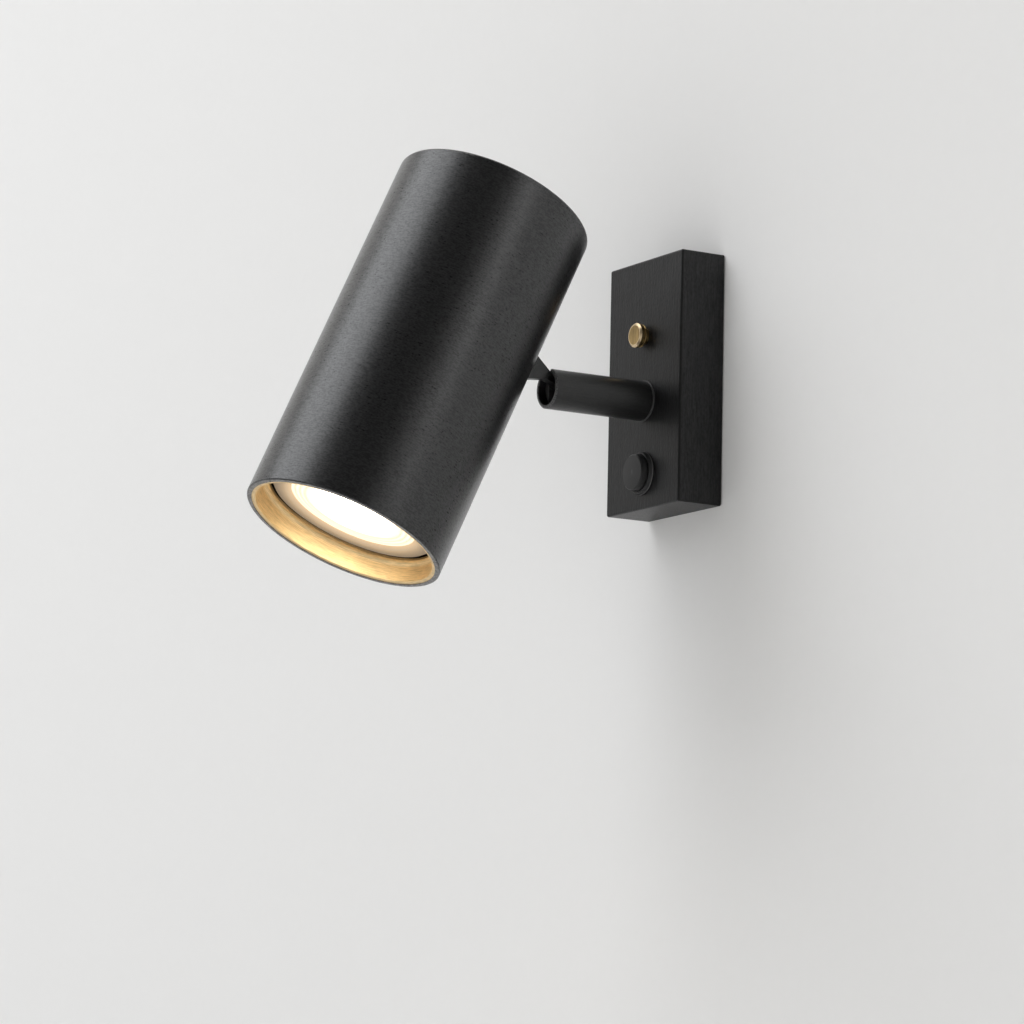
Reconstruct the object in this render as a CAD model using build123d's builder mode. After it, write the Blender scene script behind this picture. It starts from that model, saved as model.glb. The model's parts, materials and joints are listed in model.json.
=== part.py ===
from build123d import *
from math import cos, pi, radians, sin, sqrt
import os

# A pivoting spotlight for a wall: a flat rectangular cover on a bracket, a short tube that turns in the
# cover, and a cylindrical lamp head that tilts on an ear held in the tube's open end.
#
# Millimetres. The origin is the centre of the cover's back, on the wall. +Z is up, -Y points out of
# the wall and +X is to the right for someone who faces the wall. The head is tilted by rest_tilt here.

# ---- driving dimensions -------------------------------------------------------------------------

# wall cover
cover_height = 76.0
cover_width = 40.0
cover_depth = 15.0
cover_wall = 1.5
cover_edge_radius = 0.7

# mounting bracket inside the cover
bracket_sheet = 1.2
bracket_flange = 5.0
bracket_clearance = 0.3
wall_slot_spacing = 50.0
wall_slot_width = 4.5
wall_slot_length = 9.0
cable_hole_radius = 7.0
hook_width = 10.0

# cover screw and its pillar
screw_height = 14.5
standoff_across_flats = 6.4
cover_screw_thread = 4.0
cover_screw_head = 7.4
cover_screw_proud = 3.75
cover_screw_engagement = 8.0

# arm: a tube on a hollow nipple that turns in the cover
arm_height = -5.3
arm_length = 34.0
arm_diameter = 12.0
arm_bore = 10.0
nipple_diameter = 8.0
nipple_bore = 5.0
bush_wall = 1.1
bush_flange = 0.5
running_clearance = 0.06
stop_reach = 9.3
stop_post_radius = 1.0
tab_half_width = 1.6

# knuckle in the tube's open end
pivot_inset = 8.0
pivot_diameter = 3.0
ear_thickness = 3.0
pivot_washer_thickness = 0.4
ear_eye_radius = 3.4

# head
rest_tilt = 24.85
head_diameter = 60.0
head_length = 113.0
head_wall = 1.5
head_top = 2.0
pivot_gap = 17.0
pivot_below_top = 36.2
ear_root_drop = 1.65

# brass liner in the head's mouth
liner_recess = 0.15
liner_wall = 1.1
liner_depth = 7.05
liner_lip_radius = 25.7
liner_cove = 1.6

# twist-lock lamp and its holder
lamp_diameter = 50.0
lamp_recess = 6.8
lamp_length = 46.0
lamp_neck_radius = 15.2
lamp_base_radius = 13.9
lens_radius = 19.3
pin_spacing = 10.0
pin_radius = 1.5
pin_button_radius = 2.5
pin_length = 7.3
holder_radius = 15.0
holder_height = 14.0

# push switch
switch_height = -27.2
switch_flange_radius = 6.55
switch_bush_radius = 5.4
button_radius = 5.55
button_face_radius = 5.1
button_travel = 1.1
button_proud = 4.0

# terminal block
block_height = 14.5
block_width = 10.2
block_length = 22.5
block_depth = 9.0
block_poles = 3

# ---- places worked out from the driving dimensions ------------------------------------------------

inner_width = cover_width - 2 * cover_wall
inner_height = cover_height - 2 * cover_wall
inner_depth = cover_depth - cover_wall
arm_face = cover_depth + bush_flange
arm_mouth = cover_depth + arm_length
pivot_out = arm_mouth - pivot_inset
head_radius = head_diameter / 2
head_bore = head_radius - head_wall
pivot_reach = head_radius + pivot_gap
pivot_level = head_length - pivot_below_top
ear_root_level = pivot_level - ear_root_drop


def front(distance):
    """Plane parallel to the wall, at a distance from it, that looks out of the wall."""
    return Plane(origin=(0, -distance, 0), x_dir=(1, 0, 0), z_dir=(0, -1, 0))


def section(height):
    """Upright plane square to the wall: its x is the distance from the wall, its y the height."""
    return Plane(origin=(0, 0, height), x_dir=(0, -1, 0), z_dir=(-1, 0, 0))


def out_axis(height, across=0):
    """Axis that points straight out of the wall."""
    return Axis((across, 0, height), (0, -1, 0))


# The head's own frame: origin at the centre of its mouth, z up along its axis, y towards the knuckle.
tilt = radians(rest_tilt)
head_up = Vector(0, sin(tilt), cos(tilt))
head_back = Vector(0, cos(tilt), -sin(tilt))
pivot_point = Vector(0, -pivot_out, arm_height)
mouth_point = pivot_point - head_back * pivot_reach - head_up * pivot_level
head_frame = Plane(origin=mouth_point, x_dir=(1, 0, 0), z_dir=head_up)
head_section = Plane(origin=mouth_point, x_dir=head_back, z_dir=(1, 0, 0))
head_axis = Axis(mouth_point, head_up)


def head_level(height):
    """Plane across the head, at a height above its mouth."""
    return head_frame.offset(height)


def towards_knuckle(distance, height):
    """Plane square to the line from the head's axis to the knuckle, that looks to the knuckle."""
    origin = mouth_point + head_back * distance + head_up * height
    return Plane(origin=origin, x_dir=(1, 0, 0), z_dir=head_back)


def save(piece, name):
    """Label a finished piece and write its own file."""
    piece.part.label = name
    export_step(piece.part, f"parts/{name}.step")


os.makedirs("parts", exist_ok=True)

# ---- wall cover -------------------------------------------------------------------------------------

hook_rib = 1.4
hook_rib_width = hook_width + 4.0
hook_rib_depth = 1.4
hook_level = 4.6
switch_hole_radius = switch_bush_radius
bush_outer_radius = nipple_diameter / 2 + running_clearance + bush_wall
stop_post_height = 1.3

with BuildPart() as wall_cover:
    with BuildSketch(front(0)):
        RectangleRounded(cover_width, cover_height, cover_edge_radius)
    extrude(amount=cover_depth)
    fillet(wall_cover.faces().sort_by(Axis.Y)[0].edges(), cover_edge_radius)
    with BuildSketch(front(0)):
        Rectangle(inner_width, inner_height)
    extrude(amount=inner_depth, mode=Mode.SUBTRACT)
    # holes through the front for the arm, the cover screw and the switch
    with BuildSketch(front(inner_depth)):
        with Locations((0, arm_height)):
            Circle(bush_outer_radius)
        with Locations((0, screw_height)):
            Circle(cover_screw_thread / 2 + running_clearance)
        with Locations((0, switch_height)):
            Circle(switch_hole_radius)
    extrude(amount=cover_wall, mode=Mode.SUBTRACT)
    # inner rib that the bracket's hook catches
    with BuildSketch(front(hook_level)):
        with Locations((0, -inner_height / 2 + hook_rib / 2)):
            Rectangle(hook_rib_width, hook_rib)
    extrude(amount=hook_rib_depth)
    # post that stops the arm's turn
    with BuildSketch(front(inner_depth)):
        with Locations((0, arm_height - stop_reach)):
            Circle(stop_post_radius)
    extrude(amount=-stop_post_height)
save(wall_cover, "wall_cover")

# ---- mounting bracket -------------------------------------------------------------------------------

bracket_width = inner_width - 2 * bracket_clearance
bracket_height = inner_height - 2 * bracket_clearance
bend_radius = 1.0
hook_front = hook_level + hook_rib_depth + bracket_clearance
hook_drop = inner_height / 2 - bracket_clearance - hook_rib - bracket_clearance
rivet_radius = 2.2
rivet_recess = 0.1
earth_inset = 5.5
earth_place = (bracket_width / 2 - bracket_sheet - earth_inset, screw_height)
earth_thread_radius = 2.0
block_gap = 0.2
block_place = (block_width / 2 + block_gap + bracket_sheet - bracket_width / 2, block_height)
block_screw_radius = 1.25
block_pitch = block_length / block_poles
block_screw_place = (block_place[0], block_place[1] + block_pitch / 2)
screw_tip = 0.2

with BuildPart() as mounting_bracket:
    # channel: a flat back with a flange folded out along each long side
    with BuildSketch(Plane.XY.offset(-bracket_height / 2)):
        Rectangle(bracket_width, bracket_flange, align=(Align.CENTER, Align.MAX))
        with Locations((0, -bracket_sheet)):
            Rectangle(bracket_width - 2 * bracket_sheet, bracket_flange, align=(Align.CENTER, Align.MAX),
                      mode=Mode.SUBTRACT)
    extrude(amount=bracket_height)
    outer_bends = mounting_bracket.faces().sort_by(Axis.Y)[-1].edges().filter_by(Axis.Z)
    fillet(outer_bends, bend_radius)
    # openings in the back
    with BuildSketch(front(0)):
        Circle(cable_hole_radius)
        with GridLocations(0, wall_slot_spacing, 1, 2):
            SlotOverall(wall_slot_length, wall_slot_width, rotation=90)
        with Locations((0, screw_height)):
            Circle(rivet_radius)
        with Locations(earth_place):
            Circle(earth_thread_radius)
        with Locations(block_screw_place):
            Circle(block_screw_radius)
    extrude(amount=bracket_sheet, mode=Mode.SUBTRACT)
    # hook at the lower end, folded out and then down in front of the cover's rib
    with BuildSketch(section(0)):
        with BuildLine():
            Polyline(
                (0, -bracket_height / 2),
                (0, -hook_drop + bracket_sheet),
                (hook_front + bracket_sheet, -hook_drop + bracket_sheet),
                (hook_front + bracket_sheet, -bracket_height / 2),
                (hook_front, -bracket_height / 2),
                (hook_front, -hook_drop),
                (bracket_sheet, -hook_drop),
                (bracket_sheet, -bracket_height / 2),
                close=True,
            )
        make_face()
    extrude(amount=hook_width / 2, both=True)
save(mounting_bracket, "mounting_bracket")

# ---- pillar and brass screw of the cover --------------------------------------------------------------

tap_past_screw = 1.0

with BuildPart() as cover_standoff:
    with BuildSketch(front(bracket_sheet)):
        with Locations((0, screw_height)):
            RegularPolygon(standoff_across_flats / 2, 6, major_radius=False, rotation=30)
    extrude(amount=inner_depth - bracket_sheet)
    with BuildSketch(front(rivet_recess)):
        with Locations((0, screw_height)):
            Circle(rivet_radius)
    extrude(amount=bracket_sheet - rivet_recess)
    with BuildSketch(front(inner_depth)):
        with Locations((0, screw_height)):
            Circle(cover_screw_thread / 2)
    extrude(amount=-cover_screw_engagement - tap_past_screw, mode=Mode.SUBTRACT)
save(cover_standoff, "cover_standoff")

screw_neck_radius = 2.5
screw_collar = 0.6
screw_collar_radius = 3.5
screw_groove = 0.35
screw_groove_radius = 3.0
screw_cap = 1.65
screw_edge = 0.5
screw_lead = 0.4

with BuildPart() as cover_screw:
    with BuildSketch(section(screw_height)):
        with BuildLine():
            tip = inner_depth - cover_screw_engagement
            face = cover_depth + cover_screw_proud
            cap_seat = face - screw_cap
            collar_top = cap_seat - screw_groove
            Polyline(
                (tip, 0),
                (tip, cover_screw_thread / 2 - screw_lead),
                (tip + screw_lead, cover_screw_thread / 2),
                (cover_depth, cover_screw_thread / 2),
                (cover_depth, screw_neck_radius),
                (collar_top - screw_collar, screw_neck_radius),
                (collar_top - screw_collar, screw_collar_radius),
                (collar_top, screw_collar_radius),
                (collar_top, screw_groove_radius),
                (cap_seat, screw_groove_radius),
                (cap_seat, cover_screw_head / 2),
                (face - screw_edge, cover_screw_head / 2),
                (face, cover_screw_head / 2 - screw_edge),
                (face, 0),
                close=True,
            )
        make_face()
    revolve(axis=out_axis(screw_height))
save(cover_screw, "cover_screw")

# ---- arm bearing in the cover -------------------------------------------------------------------------

nipple_radius = nipple_diameter / 2
bush_bore = nipple_radius + running_clearance
bush_past_tube = 0.25
bush_edge = 0.2
bush_flange_radius = arm_diameter / 2 + bush_past_tube

with BuildPart() as arm_bush:
    with BuildSketch(section(arm_height)):
        with BuildLine():
            Polyline(
                (inner_depth, bush_bore),
                (inner_depth, bush_outer_radius),
                (cover_depth, bush_outer_radius),
                (cover_depth, bush_flange_radius),
                (arm_face - bush_edge, bush_flange_radius),
                (arm_face, bush_flange_radius - bush_edge),
                (arm_face, bush_bore),
                close=True,
            )
        make_face()
    revolve(axis=out_axis(arm_height))
save(arm_bush, "arm_bush")


def ring(plane, across, height, outer, inner, thickness):
    """A flat ring that stands on a plane, thickness measured along the plane's normal."""
    with BuildPart() as flat_ring:
        with BuildSketch(plane):
            with Locations((across, height)):
                Circle(outer)
                Circle(inner, mode=Mode.SUBTRACT)
        extrude(amount=thickness)
    return flat_ring


nut_corner = 0.15


def hex_nut(plane, across, height, flats, bore, thickness, turned=0):
    """A plain hexagon nut that stands on a plane, with its outer corners turned down."""
    corner_radius = flats / 2 / cos(pi / 6) - nut_corner
    with BuildPart() as nut:
        with BuildSketch(plane):
            with Locations((across, height)):
                RegularPolygon(flats / 2, 6, major_radius=False, rotation=turned)
                Circle(bore, mode=Mode.SUBTRACT)
        extrude(amount=thickness)
        with BuildSketch(plane):
            with Locations((across, height)):
                Circle(corner_radius)
        extrude(amount=thickness, mode=Mode.INTERSECT)
    return nut


fibre_thickness = 0.5
tab_thickness = 1.0
spring_height = 1.0
spring_sheet = 0.5
lock_nut_thickness = 3.0
lock_nut_flats = 13.0
nipple_past_nut = 0.6
washer_radius = 7.2

friction_washer = ring(front(inner_depth), 0, arm_height, washer_radius, bush_outer_radius, -fibre_thickness)
save(friction_washer, "friction_washer")

tab_top = inner_depth - fibre_thickness
with BuildPart() as tab_washer:
    with BuildSketch(front(tab_top)):
        with Locations((0, arm_height)):
            Circle(washer_radius)
            Rectangle(2 * tab_half_width, stop_reach + stop_post_radius, align=(Align.CENTER, Align.MIN))
            Circle(nipple_radius, mode=Mode.SUBTRACT)
    extrude(amount=-tab_thickness)
save(tab_washer, "tab_washer")

spring_top = tab_top - tab_thickness
disc_outer = 6.4
disc_clearance = 0.1
disc_inner = nipple_radius + disc_clearance
with BuildPart() as disc_spring:
    with BuildSketch(section(arm_height)):
        with BuildLine():
            Polyline(
                (spring_top, disc_outer),
                (spring_top - spring_sheet, disc_outer),
                (spring_top - spring_height, disc_inner),
                (spring_top - spring_height + spring_sheet, disc_inner),
                close=True,
            )
        make_face()
    revolve(axis=out_axis(arm_height))
save(disc_spring, "disc_spring")

nut_top = spring_top - spring_height
lock_nut = hex_nut(front(nut_top), 0, arm_height, lock_nut_flats, nipple_radius, -lock_nut_thickness)
save(lock_nut, "lock_nut")

# ---- arm ------------------------------------------------------------------------------------------------

plug_length = 9.0
nipple_past_plug = 1.0
plug_end = arm_face + plug_length
nipple_end = plug_end + nipple_past_plug
nipple_start = nut_top - lock_nut_thickness - nipple_past_nut
tube_radius = arm_diameter / 2
bore_radius = arm_bore / 2
mouth_edge = 0.35
fork_slot = ear_thickness + 2 * pivot_washer_thickness
slot_past_pivot = 0.4
slot_end = pivot_out - slot_past_pivot

arm_nipple = ring(front(nipple_start), 0, arm_height, nipple_radius, nipple_bore / 2,
                  nipple_end - nipple_start)
save(arm_nipple, "arm_nipple")

arm_plug = ring(front(arm_face), 0, arm_height, bore_radius, nipple_radius, plug_end - arm_face)
save(arm_plug, "arm_plug")

with BuildPart() as arm_tube:
    with BuildSketch(section(arm_height)):
        with BuildLine():
            Polyline(
                (arm_face, bore_radius),
                (arm_face, tube_radius - mouth_edge / 2),
                (arm_face + mouth_edge / 2, tube_radius),
                (arm_mouth - mouth_edge, tube_radius),
                (arm_mouth, tube_radius - mouth_edge),
                (arm_mouth, bore_radius),
                close=True,
            )
        make_face()
    revolve(axis=out_axis(arm_height))
    # slot in the upper wall, from the mouth, that the ear rises through
    with BuildSketch(Plane.XY.offset(arm_height)):
        with Locations((0, -slot_end)):
            Rectangle(fork_slot, arm_length, align=(Align.CENTER, Align.MAX))
    extrude(amount=arm_diameter, mode=Mode.SUBTRACT)
save(arm_tube, "arm_tube")

# ---- knuckle --------------------------------------------------------------------------------------------

fork_behind_pivot = 10.0
fork_past_pivot = 6.0
ear_eye_gap = 1.2
fork_back = pivot_out - fork_behind_pivot
fork_front = pivot_out + fork_past_pivot
fork_slot_floor = pivot_out - ear_eye_radius - ear_eye_gap
fork_chamfer = 1.0
fork_lead_hole = 2.0
pivot_radius = pivot_diameter / 2
pivot_head_radius = 2.3
pivot_head_height = 1.0
pivot_head_clearance = 0.1
pivot_socket_flats = 2.0
pivot_socket_depth = 0.8
pivot_end_gap = 0.6
pivot_screw_tip = pivot_end_gap - bore_radius
pivot_head_seat = bore_radius - pivot_end_gap - pivot_head_height

with BuildPart() as knuckle_fork:
    with BuildSketch(section(arm_height)):
        with BuildLine():
            Polyline(
                (fork_back, fork_lead_hole),
                (fork_back, bore_radius),
                (fork_front - fork_chamfer, bore_radius),
                (fork_front, bore_radius - fork_chamfer),
                (fork_front, fork_lead_hole),
                close=True,
            )
        make_face()
    revolve(axis=out_axis(arm_height))
    # slot for the ear, open above, below and in front
    with BuildSketch(Plane.XY.offset(arm_height)):
        with Locations((0, -fork_slot_floor)):
            Rectangle(fork_slot, arm_length, align=(Align.CENTER, Align.MAX))
    extrude(amount=bore_radius, both=True, mode=Mode.SUBTRACT)
    # cross bore for the pivot screw, with a seat for its head
    with BuildSketch(Plane.YZ):
        with Locations((-pivot_out, arm_height)):
            Circle(pivot_radius)
    extrude(amount=bore_radius, both=True, mode=Mode.SUBTRACT)
    with BuildSketch(Plane.YZ.offset(pivot_head_seat)):
        with Locations((-pivot_out, arm_height)):
            Circle(pivot_head_radius + pivot_head_clearance)
    extrude(amount=bore_radius, mode=Mode.SUBTRACT)
save(knuckle_fork, "knuckle_fork")

with BuildPart() as pivot_screw:
    with BuildSketch(Plane.YZ.offset(pivot_screw_tip)):
        with Locations((-pivot_out, arm_height)):
            Circle(pivot_radius)
    extrude(amount=pivot_head_seat - pivot_screw_tip)
    with BuildSketch(Plane.YZ.offset(pivot_head_seat)):
        with Locations((-pivot_out, arm_height)):
            Circle(pivot_head_radius)
    extrude(amount=pivot_head_height)
    with BuildSketch(Plane.YZ.offset(pivot_head_seat + pivot_head_height)):
        with Locations((-pivot_out, arm_height)):
            RegularPolygon(pivot_socket_flats / 2, 6, major_radius=False)
    extrude(amount=-pivot_socket_depth, mode=Mode.SUBTRACT)
save(pivot_screw, "pivot_screw")

pivot_washer_radius = ear_eye_radius - 0.1

with BuildPart() as pivot_washers:
    for side in (-fork_slot / 2, ear_thickness / 2):
        with BuildSketch(Plane.YZ.offset(side)):
            with Locations((-pivot_out, arm_height)):
                Circle(pivot_washer_radius)
                Circle(pivot_radius + running_clearance, mode=Mode.SUBTRACT)
        extrude(amount=pivot_washer_thickness)
save(pivot_washers, "pivot_washers")

# The ear is a flat lever: a round eye on the pivot, a narrow neck where it passes the tube's mouth,
# and a root that flares, more below than above, and seats on the head's round side.
neck_half = 1.35
neck_length = 9.2
neck_reach = pivot_reach - neck_length
flare_above = 4.5
flare_below = 6.3
root_above = flare_above + ear_root_drop
root_below = flare_below - ear_root_drop
root_depth = 0.6
root_inside = head_radius - root_depth
bevel_depth = 1.0
ridge_drop = 0.4
stud_radius = 3.0
stud_hole_clearance = 0.1
stud_reach = 6.0
stud_into_root = 0.5
stud_tip = head_bore - stud_reach
tangent_drop = sqrt(ear_eye_radius**2 - neck_half**2)

with BuildPart() as knuckle_ear:
    with BuildSketch(head_section):
        with BuildLine():
            eye_start = (pivot_reach - tangent_drop, pivot_level + neck_half)
            eye_end = (pivot_reach - tangent_drop, pivot_level - neck_half)
            Line((root_inside, ear_root_level + root_above), (neck_reach, pivot_level + neck_half))
            Line((neck_reach, pivot_level + neck_half), eye_start)
            ThreePointArc(eye_start, (pivot_reach + ear_eye_radius, pivot_level), eye_end)
            Line(eye_end, (neck_reach, pivot_level - neck_half))
            Line((neck_reach, pivot_level - neck_half), (root_inside, ear_root_level - root_below))
            Line((root_inside, ear_root_level - root_below), (root_inside, ear_root_level + root_above))
        make_face()
    extrude(amount=ear_thickness / 2, both=True)
    # the lower half of the neck and root is bevelled towards its edge on both faces
    for side in (-1, 1):
        with BuildSketch(towards_knuckle(root_inside, pivot_level)):
            with BuildLine():
                Polyline(
                    (side * ear_thickness / 2, -ridge_drop),
                    (side * (ear_thickness / 2 - bevel_depth), -flare_below),
                    (side * ear_thickness, -flare_below),
                    close=True,
                )
            make_face()
        extrude(amount=neck_reach - root_inside, mode=Mode.SUBTRACT)
    # running bore on the pivot screw
    with BuildSketch(head_section):
        with Locations((pivot_reach, pivot_level)):
            Circle(pivot_radius + running_clearance)
    extrude(amount=ear_thickness, both=True, mode=Mode.SUBTRACT)
    # curved seat on the head, and a stud through its wall
    with BuildSketch(head_level(ear_root_level - 2 * flare_below)):
        Circle(head_radius)
    extrude(amount=4 * flare_below, mode=Mode.SUBTRACT)
    with BuildSketch(towards_knuckle(stud_tip, ear_root_level)):
        Circle(stud_radius)
    extrude(amount=head_radius + stud_into_root - stud_tip)
save(knuckle_ear, "knuckle_ear")

# ---- head -------------------------------------------------------------------------------------------------

top_edge_radius = 0.9
mouth_lip = 0.3

with BuildPart() as head_shell:
    with BuildSketch(head_section):
        with BuildLine():
            Line((0, head_length), (head_radius - top_edge_radius, head_length))
            RadiusArc((head_radius - top_edge_radius, head_length),
                      (head_radius, head_length - top_edge_radius), top_edge_radius)
            Polyline(
                (head_radius, head_length - top_edge_radius),
                (head_radius, mouth_lip),
                (head_radius - mouth_lip, 0),
                (head_bore, 0),
                (head_bore, head_length - head_top),
                (0, head_length - head_top),
                (0, head_length),
            )
        make_face()
    revolve(axis=head_axis)
    with BuildSketch(towards_knuckle(0, ear_root_level)):
        Circle(stud_radius + stud_hole_clearance)
    extrude(amount=head_diameter, mode=Mode.SUBTRACT)
save(head_shell, "head_shell")

liner_lip = 0.8
liner_edge = 0.3

with BuildPart() as brass_liner:
    with BuildSketch(head_section):
        with BuildLine():
            liner_bore = head_bore - liner_wall
            liner_end = liner_recess + liner_depth
            cove_end = liner_end - liner_lip
            Polyline(
                (liner_bore, cove_end - liner_cove),
                (liner_bore, liner_recess + liner_edge),
                (liner_bore + liner_edge, liner_recess),
                (head_bore, liner_recess),
                (head_bore, liner_end),
                (liner_lip_radius, liner_end),
                (liner_lip_radius, cove_end),
                (liner_bore - liner_cove, cove_end),
            )
            RadiusArc((liner_bore - liner_cove, cove_end), (liner_bore, cove_end - liner_cove), liner_cove)
        make_face()
    revolve(axis=head_axis)
save(brass_liner, "brass_liner")

# ---- inside the head: strap, saddle and nut behind the ear ------------------------------------------------

lamp_base_level = lamp_recess + lamp_length
holder_gap = 0.2
holder_bottom = lamp_base_level + holder_gap
holder_top = holder_bottom + holder_height
strap_sheet = 1.2
strap_width = 16.0
strap_end = -19.0
strap_past_ear = 6.35
strap_rise = ear_root_level + strap_past_ear - holder_top
saddle_thickness = 1.2
saddle_width = 12.0
saddle_height = 10.0
ear_nut_thickness = 2.4
ear_nut_flats = 10.0
holder_screw_radius = 1.5
holder_screw_spacing = 20.0

with BuildPart() as lampholder_bracket:
    # curved leg against the shell
    with BuildSketch(head_level(holder_top)):
        Circle(head_bore)
        Circle(head_bore - strap_sheet, mode=Mode.SUBTRACT)
        with Locations((0, head_bore)):
            Rectangle(strap_width, head_bore, mode=Mode.INTERSECT)
    extrude(amount=strap_rise)
    # flat strip across the head that carries the holder
    with BuildSketch(head_level(holder_top)):
        with Locations((0, strap_end)):
            Rectangle(strap_width, head_diameter, align=(Align.CENTER, Align.MIN))
        Circle(head_bore, mode=Mode.INTERSECT)
    extrude(amount=strap_sheet)
    with BuildSketch(head_level(holder_top)):
        with GridLocations(0, holder_screw_spacing, 1, 2):
            Circle(holder_screw_radius)
        Circle(holder_screw_radius * 2)
    extrude(amount=strap_sheet, mode=Mode.SUBTRACT)
    with BuildSketch(towards_knuckle(0, ear_root_level)):
        Circle(stud_radius + stud_hole_clearance)
    extrude(amount=head_radius, mode=Mode.SUBTRACT)
save(lampholder_bracket, "lampholder_bracket")

saddle_outer = head_bore - strap_sheet
saddle_sagitta = saddle_outer - sqrt(saddle_outer**2 - (saddle_width / 2) ** 2)
saddle_flat = saddle_outer - saddle_sagitta - saddle_thickness

with BuildPart() as saddle_washer:
    with BuildSketch(head_level(ear_root_level - saddle_height / 2)):
        Circle(saddle_outer)
        with Locations((0, saddle_flat)):
            Rectangle(saddle_width, saddle_outer, align=(Align.CENTER, Align.MIN), mode=Mode.INTERSECT)
    extrude(amount=saddle_height)
    with BuildSketch(towards_knuckle(0, ear_root_level)):
        Circle(stud_radius + stud_hole_clearance)
    extrude(amount=head_radius, mode=Mode.SUBTRACT)
save(saddle_washer, "saddle_washer")

ear_nut = hex_nut(towards_knuckle(saddle_flat - ear_nut_thickness, ear_root_level), 0, 0, ear_nut_flats,
                  stud_radius, ear_nut_thickness, turned=30)
save(ear_nut, "ear_nut")

# ---- lamp -----------------------------------------------------------------------------------------------

lamp_radius = lamp_diameter / 2
rim_height = 4.6
lens_seat = 0.7
lens_thickness = 1.6
lens_bevel = 1.7
lamp_edge = 0.6
bowl_middle_radius = lamp_radius - 3.0
bowl_middle_level = lamp_recess + 16.0
shoulder_level = lamp_recess + 33.0

with BuildPart() as lamp_body:
    with BuildSketch(head_section):
        with BuildLine():
            Polyline(
                (0, lamp_recess + lens_seat + lens_thickness),
                (lens_radius, lamp_recess + lens_seat + lens_thickness),
                (lens_radius, lamp_recess + lens_seat),
                (lens_radius + lens_bevel, lamp_recess),
                (lamp_radius - lamp_edge, lamp_recess),
                (lamp_radius, lamp_recess + lamp_edge),
                (lamp_radius, lamp_recess + rim_height),
            )
            Polyline(
                (lamp_radius, lamp_recess + rim_height),
                (bowl_middle_radius, bowl_middle_level),
                (lamp_neck_radius, shoulder_level),
                (lamp_base_radius, shoulder_level),
                (lamp_base_radius, lamp_base_level - lamp_edge),
                (lamp_base_radius - lamp_edge, lamp_base_level),
                (0, lamp_base_level),
                (0, lamp_recess + lens_seat + lens_thickness),
            )
        make_face()
    revolve(axis=head_axis)
save(lamp_body, "lamp_body")

lens_crown = 0.5
with BuildPart() as lamp_lens:
    with BuildSketch(head_section):
        with BuildLine():
            back = lamp_recess + lens_seat + lens_thickness
            edge = lamp_recess + lens_seat
            Polyline((0, edge - lens_crown), (0, back), (lens_radius, back), (lens_radius, edge))
            RadiusArc((lens_radius, edge), (0, edge - lens_crown),
                      (lens_radius**2 + lens_crown**2) / (2 * lens_crown))
        make_face()
    revolve(axis=head_axis)
save(lamp_lens, "lamp_lens")

pin_button_height = 2.6

with BuildPart() as lamp_pins:
    with BuildSketch(head_level(lamp_base_level)):
        with GridLocations(pin_spacing, 0, 2, 1):
            Circle(pin_radius)
    extrude(amount=pin_length)
    with BuildSketch(head_level(lamp_base_level + pin_length - pin_button_height)):
        with GridLocations(pin_spacing, 0, 2, 1):
            Circle(pin_button_radius)
    extrude(amount=pin_button_height)
save(lamp_pins, "lamp_pins")

# ---- ceramic twist-lock holder ----------------------------------------------------------------------------

twist_angle = 28.0
face_plate = 4.2
pin_play = 0.6
neck_slot = 2 * pin_radius + pin_play
cavity_slot = 2 * pin_button_radius + pin_play
cavity_depth = pin_length + pin_play
pin_circle = pin_spacing / 2
holder_flat = 1.5
holder_edge = 0.6
fixing_hole_depth = 8.0

with BuildPart() as lampholder:
    with BuildSketch(head_level(holder_bottom)):
        Circle(holder_radius)
        # flats at the sides, clear of the pins
        Rectangle(2 * holder_radius, 2 * (holder_radius - holder_flat), mode=Mode.INTERSECT)
    extrude(amount=holder_height)
    chamfer(lampholder.edges().filter_by(GeomType.CIRCLE), holder_edge)
    # each pin's way in: a round hole, then a curved slot under the face plate
    for start in (0, 180):
        with BuildSketch(head_level(holder_bottom)):
            with BuildLine(mode=Mode.PRIVATE) as neck_path:
                CenterArc((0, 0), pin_circle, start, -twist_angle)
            SlotArc(neck_path.edge(), neck_slot)
            with PolarLocations(pin_circle, 1, start_angle=start - twist_angle):
                Circle(cavity_slot / 2)
        extrude(amount=face_plate, mode=Mode.SUBTRACT)
        with BuildSketch(head_level(holder_bottom + face_plate)):
            with BuildLine(mode=Mode.PRIVATE) as cavity_path:
                CenterArc((0, 0), pin_circle, start, -twist_angle)
            SlotArc(cavity_path.edge(), cavity_slot)
        extrude(amount=cavity_depth - face_plate, mode=Mode.SUBTRACT)
    # fixing holes from the back
    with BuildSketch(head_level(holder_top)):
        with GridLocations(0, holder_screw_spacing, 1, 2):
            Circle(holder_screw_radius)
    extrude(amount=-fixing_hole_depth, mode=Mode.SUBTRACT)
save(lampholder, "lampholder")

contact_thickness = 0.4

with BuildPart() as holder_contacts:
    with BuildSketch(head_level(holder_bottom + cavity_depth - contact_thickness)):
        with GridLocations(pin_spacing, 0, 2, 1):
            Circle(pin_radius)
    extrude(amount=contact_thickness)
save(holder_contacts, "holder_contacts")

holder_screw_head_radius = 2.7
holder_screw_head_height = 1.8
holder_screw_reach = 6.5

with BuildPart() as holder_screws:
    with BuildSketch(head_level(holder_top + strap_sheet)):
        with GridLocations(0, holder_screw_spacing, 1, 2):
            Circle(holder_screw_head_radius)
    extrude(amount=holder_screw_head_height)
    with BuildSketch(head_level(holder_top - holder_screw_reach)):
        with GridLocations(0, holder_screw_spacing, 1, 2):
            Circle(holder_screw_radius)
    extrude(amount=holder_screw_reach + strap_sheet)
save(holder_screws, "holder_screws")

# ---- push switch ----------------------------------------------------------------------------------------

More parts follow.
